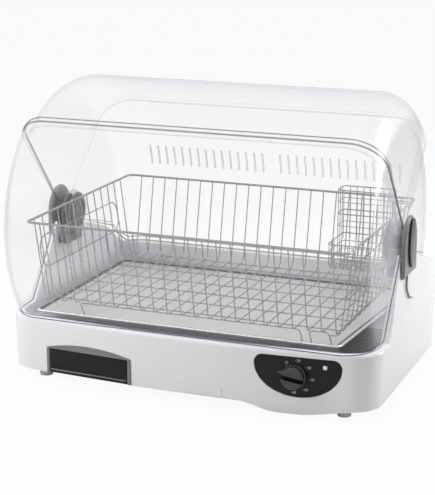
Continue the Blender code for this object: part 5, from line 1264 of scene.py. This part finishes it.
def tray_outline(inset):
    """The tray's outline moved in, with corners of 10 mm that shrink to 1 mm."""
    r = 0.0100 - min(inset, 0.0090)
    spots = []
    for x, y, turn in TRAY_CORNERS:
        inner_x = x - (inset + r) * (1 if x > 0 else -1)
        inner_y = y - (inset + r) * (1 if y > 0 else -1)
        spots += arc((inner_x, inner_y), r, turn, turn + 90, 5)
    return spots


def tray_mesh():
    top = TRAY_TOP
    rows = ((0.0006, top - 0.0026), (0.0, top - 0.0020), (0.0, top - 0.0008), (0.0018, top + 0.0010),
            (0.0028, top + 0.0010), (0.0036, top - 0.0001), (0.0086, top - 0.0006))
    # Finish of each strip: 1 is the hem's painted highlight, 2 the painted shade of its fold.
    kinds = (0, 2, 1, 1, 2, 2)

    def build(work):
        made = [[work.verts.new((x, y, z)) for x, y in tray_outline(inset)] for inset, z in rows]
        for kind, a, b in zip(kinds, made, made[1:]):
            for face in strip(work, a, b):
                face.material_index = kind
        work.faces.new(made[0])
        work.faces.new(made[-1])

    return mesh_from("tray", build)


stand_in("drip_tray", tray_mesh(), 30, ("bright_hem", "hem_fold"))

# %% [markdown]
# ## Warm-air outlet
# Warm air rises from the duct through a black louvred plate beside the tray. The slats are one bar set
# out by the row tree over a thin plate, which closes the view into the duct.

# %% Louvre of the outlet
SLATS, SLAT_PITCH = 28, 0.006


def outlet_mesh():
    (x0, y0, z0), (x1, y1, z1) = (0.2010, -0.1540, 0.0743), (0.2580, 0.0200, 0.0752)
    plate = eased(box_mesh((x0, y0, z0), (x1, y1, z1)), 0.0003)
    bar = box_mesh((x0 + 0.002, y0 + 0.002, z1), (x1 - 0.002, y0 + 0.0034, z1 + 0.0022))
    slats = grown(SOLID_ROW, bar, {
        "Count": SLATS, "Step": (0, SLAT_PITCH, 0), "Finish": FINISHES["panel_plastic"]})
    return joined([plate, slats])


low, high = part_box("air_outlet_grille")
print("outlet grille of the model:", tuple(round(v, 4) for v in low), tuple(round(v, 4) for v in high))
add_piece("air_outlet_piece", outlet_mesh(), "panel_plastic", "base", ("air_outlet_grille",))

# %% [markdown]
# ## Hubs
# Seen through the hood, the inner disc of each hub is a stack of turned rings, so its profile is drawn
# as radii and turned about the hub's axis. Its outer ring and the thin arch behind it are clear. Outside,
# a grey arch closes the hub and carries an oval black badge that is left plain.

# %% Turn the hub discs and ease the covers
DISC_IN, DISC_OUT = (corner.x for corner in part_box("hub_disc_right"))
CHEEK_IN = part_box("hub_bracket_right")[1].x
BRACKET_OUT = DISC_OUT + 0.0084
CLEAR_RING_R, BRACKET_HALF, BRACKET_DROP, BRACKET_FOOT_HALF = 0.0218, 0.0320, 0.0380, 0.0240


def hub_disc(side):
    face, back = DISC_IN + 0.0016, DISC_OUT
    rim = ((0.0, 0.0), (0.0, 0.0285), (0.0006, 0.0292), (0.0018, 0.0292), (0.0022, 0.0286), (0.0016, 0.0222))
    rings = ((0.0004, 0.0216), (0.0, 0.0208), (0.0, 0.0190), (0.0016, 0.0182), (0.0016, 0.0136), (0.0, 0.0128),
             (0.0, 0.0104), (0.0018, 0.0096), (0.0018, 0.0050), (0.0010, 0.0040), (0.0010, 0.0))
    mesh = turned_mesh([(back - x, r) for x, r in rim] + [(face + x, r) for x, r in rings])
    for item in mesh.polygons:
        item.material_index = 1 if hypot(item.center.y, item.center.z) > CLEAR_RING_R else 0
    return on_side(placed(mesh, Matrix.Translation((0, PIVOT_Y, PIVOT_Z))), side)


def hub_bracket(side):
    outline = arch(BRACKET_HALF, BRACKET_HALF, BRACKET_DROP, 24)
    plate = eased(prism_mesh(outline, BRACKET_OUT - 0.0022, BRACKET_OUT, "X"), 0.0007)
    for item in plate.polygons:
        item.material_index = 1
    low = (BRACKET_OUT - 0.0040, PIVOT_Y - BRACKET_FOOT_HALF, PIVOT_Z - BRACKET_DROP - 0.0080)
    high = (CHEEK_IN, PIVOT_Y + BRACKET_FOOT_HALF, PIVOT_Z - WELL_R - 0.0045)
    return on_side(joined([plate, eased(box_mesh(low, high), 0.0012)]), side)


print(f"disc from {DISC_IN:.4f} to {DISC_OUT:.4f}, bracket out to {BRACKET_OUT:.4f} and {CHEEK_IN:.4f}")
for side, word in ((-1, "left"), (1, "right")):
    stand_in(f"hub_disc_{word}", hub_disc(side), also=("faint_edge",))
    stand_in(f"hub_bracket_{word}", hub_bracket(side), also=("faint_edge",))
    soften(f"hub_cover_{word}", 0.0009, limit_deg=50)
    soften(f"hub_badge_{word}", 0.0008)

# %% [markdown]
# ## Front fittings
# A grey arch frames the drawer's mouth. The drawer's black face fills it flush, with one fine ridge
# along its foot, painted grey as the highlight that the ridge catches. Both are flat mouldings, so they
# are outlines given a depth, cut, and eased at their edges. The face is fused to the drawer's own solid,
# so it slides with it.

# %% Bezel and drawer
MOUTH_HALF = (DRAWER[1] - DRAWER[0]) / 2
DRAWER_FINISHES = ("panel_plastic", "grey_plastic")


def drawer_bezel():
    mouth = box_mesh((-MOUTH_HALF - GAP, -0.010, 0.005), (MOUTH_HALF + GAP, 0.010, DRAWER[3] + GAP))
    solid = combined(prism_mesh(bezel_outline(), -0.0020, 0.0022, "Y"), [mouth])
    return placed(eased(solid, 0.0007), BEZEL_FRAME)


def water_drawer():
    half, ridge_half = MOUTH_HALF - GAP, MOUTH_HALF - 0.002
    plate = eased(box_mesh((-half, -0.0012, 0.0168), (half, 0.0018, DRAWER[3] - GAP)), 0.0006)
    ridge = eased(box_mesh((-ridge_half, -0.0030, 0.0213), (ridge_half, 0.0, 0.0230)), 0.0006, 3)
    face = combined(plate, [ridge], "UNION")
    # The ridge's faces take the grey finish, a painted highlight on the black face.
    kinds = [1 if item.center.y < -0.0013 else 0 for item in face.polygons]
    face = placed(with_finishes(face, DRAWER_FINISHES, kinds), BEZEL_FRAME)
    solid = merged_copy("water_drawer", 0)
    solid = with_finishes(solid, DRAWER_FINISHES, [0] * len(solid.polygons))
    return combined(solid, [face], "UNION")


stand_in("drawer_bezel", drawer_bezel())
stand_in("water_drawer", water_drawer(), also=DRAWER_FINISHES[1:])
soften("control_panel", 0.0004)
soften("pilot_lamp", 0.0005)

# %% [markdown]
# ## Timer knob
# The knob is a round moulding whose face is parted by a deep finger groove, with painted shade inside
# it. The lobe above the groove ends in a small beak. It is made with its groove level, about its own
# axis, and then turned to the off mark. The beak lies beside the groove, so it points a little past the
# mark.

# %% Shape the knob
OFF_DEG = 170.0
GROOVE_HALF, GROOVE_FLOOR = 0.0031, -0.0086
BEAK = ((0.0040, -0.0031), (0.0192, -0.0036), (0.0194, -0.0048), (0.0060, -0.0136))


def timer_knob():
    skirt = eased(rod_mesh((0, -0.0040, 0), 0.0040, 0.0170, "Y", 56), 0.0009)
    lobes = eased(rod_mesh((0, -0.0155, 0), 0.0125, 0.0156, "Y", 56), 0.0050, 6)
    beak = eased(prism_mesh(BEAK, -0.0140, -0.0010, "Y"), 0.0008)
    body = combined(skirt, [lobes, beak], "UNION")
    body = combined(body, [box_mesh((-0.0210, -0.0200, -GROOVE_HALF), (0.0210, GROOVE_FLOOR, GROOVE_HALF))])
    # Faces deep in the groove take the near-black panel finish: painted shade in the recess.
    for item in body.polygons:
        item.material_index = 1 if abs(item.center.z) < 0.00315 and item.center.y < -0.0080 else 0
    axis = PANEL_FRAME @ Matrix.Translation((panel_x(KNOB[0]), -GAP, KNOB[1]))
    return placed(body, axis @ Matrix.Rotation(-radians(OFF_DEG), 4, "Y"))


stand_in("timer_knob", timer_knob(), also=("panel_plastic",))

# %% [markdown]
# ## Numbers on the dial
# The marks run from off to 60 minutes over 265 degrees. The numbers are text turned into a mesh and
# laid a tenth of a millimetre proud of the panel, each with a small dot beside it, as screen printing is.

# %% Print the dial
DIAL_R, STEP_DEG = 0.0225, 265.0 / 6


def lettering(word, size, x, z):
    curve = bpy.data.curves.new("number", "FONT")
    curve.body = word
    curve.size = size
    curve.align_x, curve.align_y = "CENTER", "CENTER"
    curve.extrude = 0.00008
    mesh = settled(linked("number", curve))
    return placed(mesh, PANEL_FRAME @ Matrix.Translation((x, -0.0001, z)) @ Matrix.Rotation(pi / 2, 4, "X"))


marks = []
for i in range(7):
    turn = radians(OFF_DEG - STEP_DEG * i)
    x = panel_x(KNOB[0]) + DIAL_R * cos(turn) + 0.0026
    z = KNOB[1] + DIAL_R * sin(turn) - 0.0004
    if i:
        marks.append(lettering(str(10 * i), 0.0050, x, z))
    beside = {0: (-0.0026, 0.0), 1: (0.0, -0.0036)}.get(i, (-0.0038, 0.0))
    dot = rod_mesh((x + beside[0], -0.00018, z + beside[1]), 0.0002, 0.0005, "Y", 12)
    marks.append(placed(dot, PANEL_FRAME))
add_piece("dial_numbers", joined(marks), "white_ink", "base")

# %% [markdown]
# ## Screws of the bottom cover
# Four pan-head screws hold the bottom cover, out of sight from above. One screw with a crossed recess
# is described, and the same shape is made at each of the four bosses.

# %% Make the four screws
SCREW_PROFILE = ((0.0, 0.0), (0.0, 0.0026), (0.0006, 0.0033), (0.0022, 0.0035), (0.0022, 0.0017),
                 (0.0112, 0.0016), (0.0122, 0.0))
SCREW_SEAT, SCREW_HEAD = 0.0172, 0.0022


def screw_mesh(x, y):
    head = placed(turned_mesh(SCREW_PROFILE, 24), Matrix.Rotation(-pi / 2, 4, "Y"))
    cross = [box_mesh((-0.0019, -0.0004, -0.001), (0.0019, 0.0004, 0.0010)),
             box_mesh((-0.0004, -0.0019, -0.001), (0.0004, 0.0019, 0.0010))]
    return placed(combined(head, cross), Matrix.Translation((x, y, SCREW_SEAT - SCREW_HEAD)))


for i, spot in enumerate(BOSSES):
    stand_in(f"bottom_screw_{i + 1}", screw_mesh(*spot))

# %% [markdown]
# ## Floor, light and camera
# The dryer stands on a plain pale floor that the camera sees almost white. A wide lamp hangs above it,
# a small one stands at the left of the front and a tall, narrow one at the right behind it. The camera
# stands at the right of the front, above the hood, and looks slightly down through a long lens.

# %% Floor and world
def plain(name, shade, glow_share):
    made = Finish(name)
    seen = made.node("ShaderNodeLightPath", output="Is Camera Ray")
    matt = made.node("ShaderNodeBsdfDiffuse", {}, {"Color": (shade, shade, shade, 1.0)})
    glow = made.node("ShaderNodeEmission", {}, {"Color": (1.0, 1.0, 1.0, 1.0), "Strength": 1.0})
    both = made.node("ShaderNodeMixShader", {}, {0: seen * glow_share, 1: matt, 2: glow})
    made.node("ShaderNodeOutputMaterial", {}, {"Surface": both})
    return made.material


def floor_square(work):
    bmesh.ops.create_grid(work, x_segments=1, y_segments=1, size=6.0)


floor_mesh = mesh_from("floor", floor_square)
floor_mesh.materials.append(plain("pale_floor", 0.8, 0.94))
floor = linked("floor", floor_mesh)

world = bpy.data.worlds.new("studio")
world.use_nodes = True
world.node_tree.nodes.clear()
sky = Sheet(world.node_tree)
path = sky.node("ShaderNodeLightPath", output="Is Camera Ray")
mirror = sky.node("ShaderNodeLightPath", output="Is Glossy Ray")
through = sky.node("ShaderNodeLightPath", output="Is Transmission Ray")
strength = 0.34 + path * 0.66 + mirror * 0.56 + through * 0.66
white = sky.node("ShaderNodeBackground", {}, {"Color": (1.0, 1.0, 1.0, 1.0), "Strength": strength})
sky.node("ShaderNodeOutputWorld", {}, {"Surface": white})
bpy.context.scene.world = world
bpy.context.scene.view_settings.view_transform = "Standard"
print("floor and world ready")

# %% Lamps
def aimed(item, spot, aim):
    """The object at a spot, looking at the aim."""
    item.location = spot
    item.rotation_euler = (Vector(aim) - Vector(spot)).to_track_quat("-Z", "Y").to_euler()
    return item


def soft_lamp(name, spot, aim, size, watts):
    data = bpy.data.lights.new(name, "AREA")
    data.shape = "RECTANGLE"
    data.size, data.size_y = size
    data.energy = watts
    return aimed(linked(name, data), spot, aim)


above = soft_lamp("top_lamp", (0.05, 0.10, 1.50), (0, 0.02, 0.1), (1.2, 1.0), 12.0)
key = soft_lamp("left_lamp", (-0.80, -0.75, 0.75), (-0.15, -0.10, 0.08), (0.45, 0.45), 6.5)
above.visible_glossy = key.visible_glossy = False
soft_lamp("right_lamp", (1.05, 0.72, 0.55), (0.1, 0, 0.12), (0.25, 0.95), 8.4)
print("three lamps")

# %% Camera
camera = bpy.data.cameras.new("camera")
camera.sensor_fit = "VERTICAL"
camera.sensor_height = 36.0
camera.lens = 109.04
eye = aimed(linked("camera", camera), (0.7623, -1.9462, 0.7296), (-0.0144, 0.0050, 0.1743))
bpy.context.scene.camera = eye
print("camera at", tuple(round(v, 3) for v in eye.location))

# %% Finish
bpy.context.view_layer.update()
print("pieces:", len(PIECES))
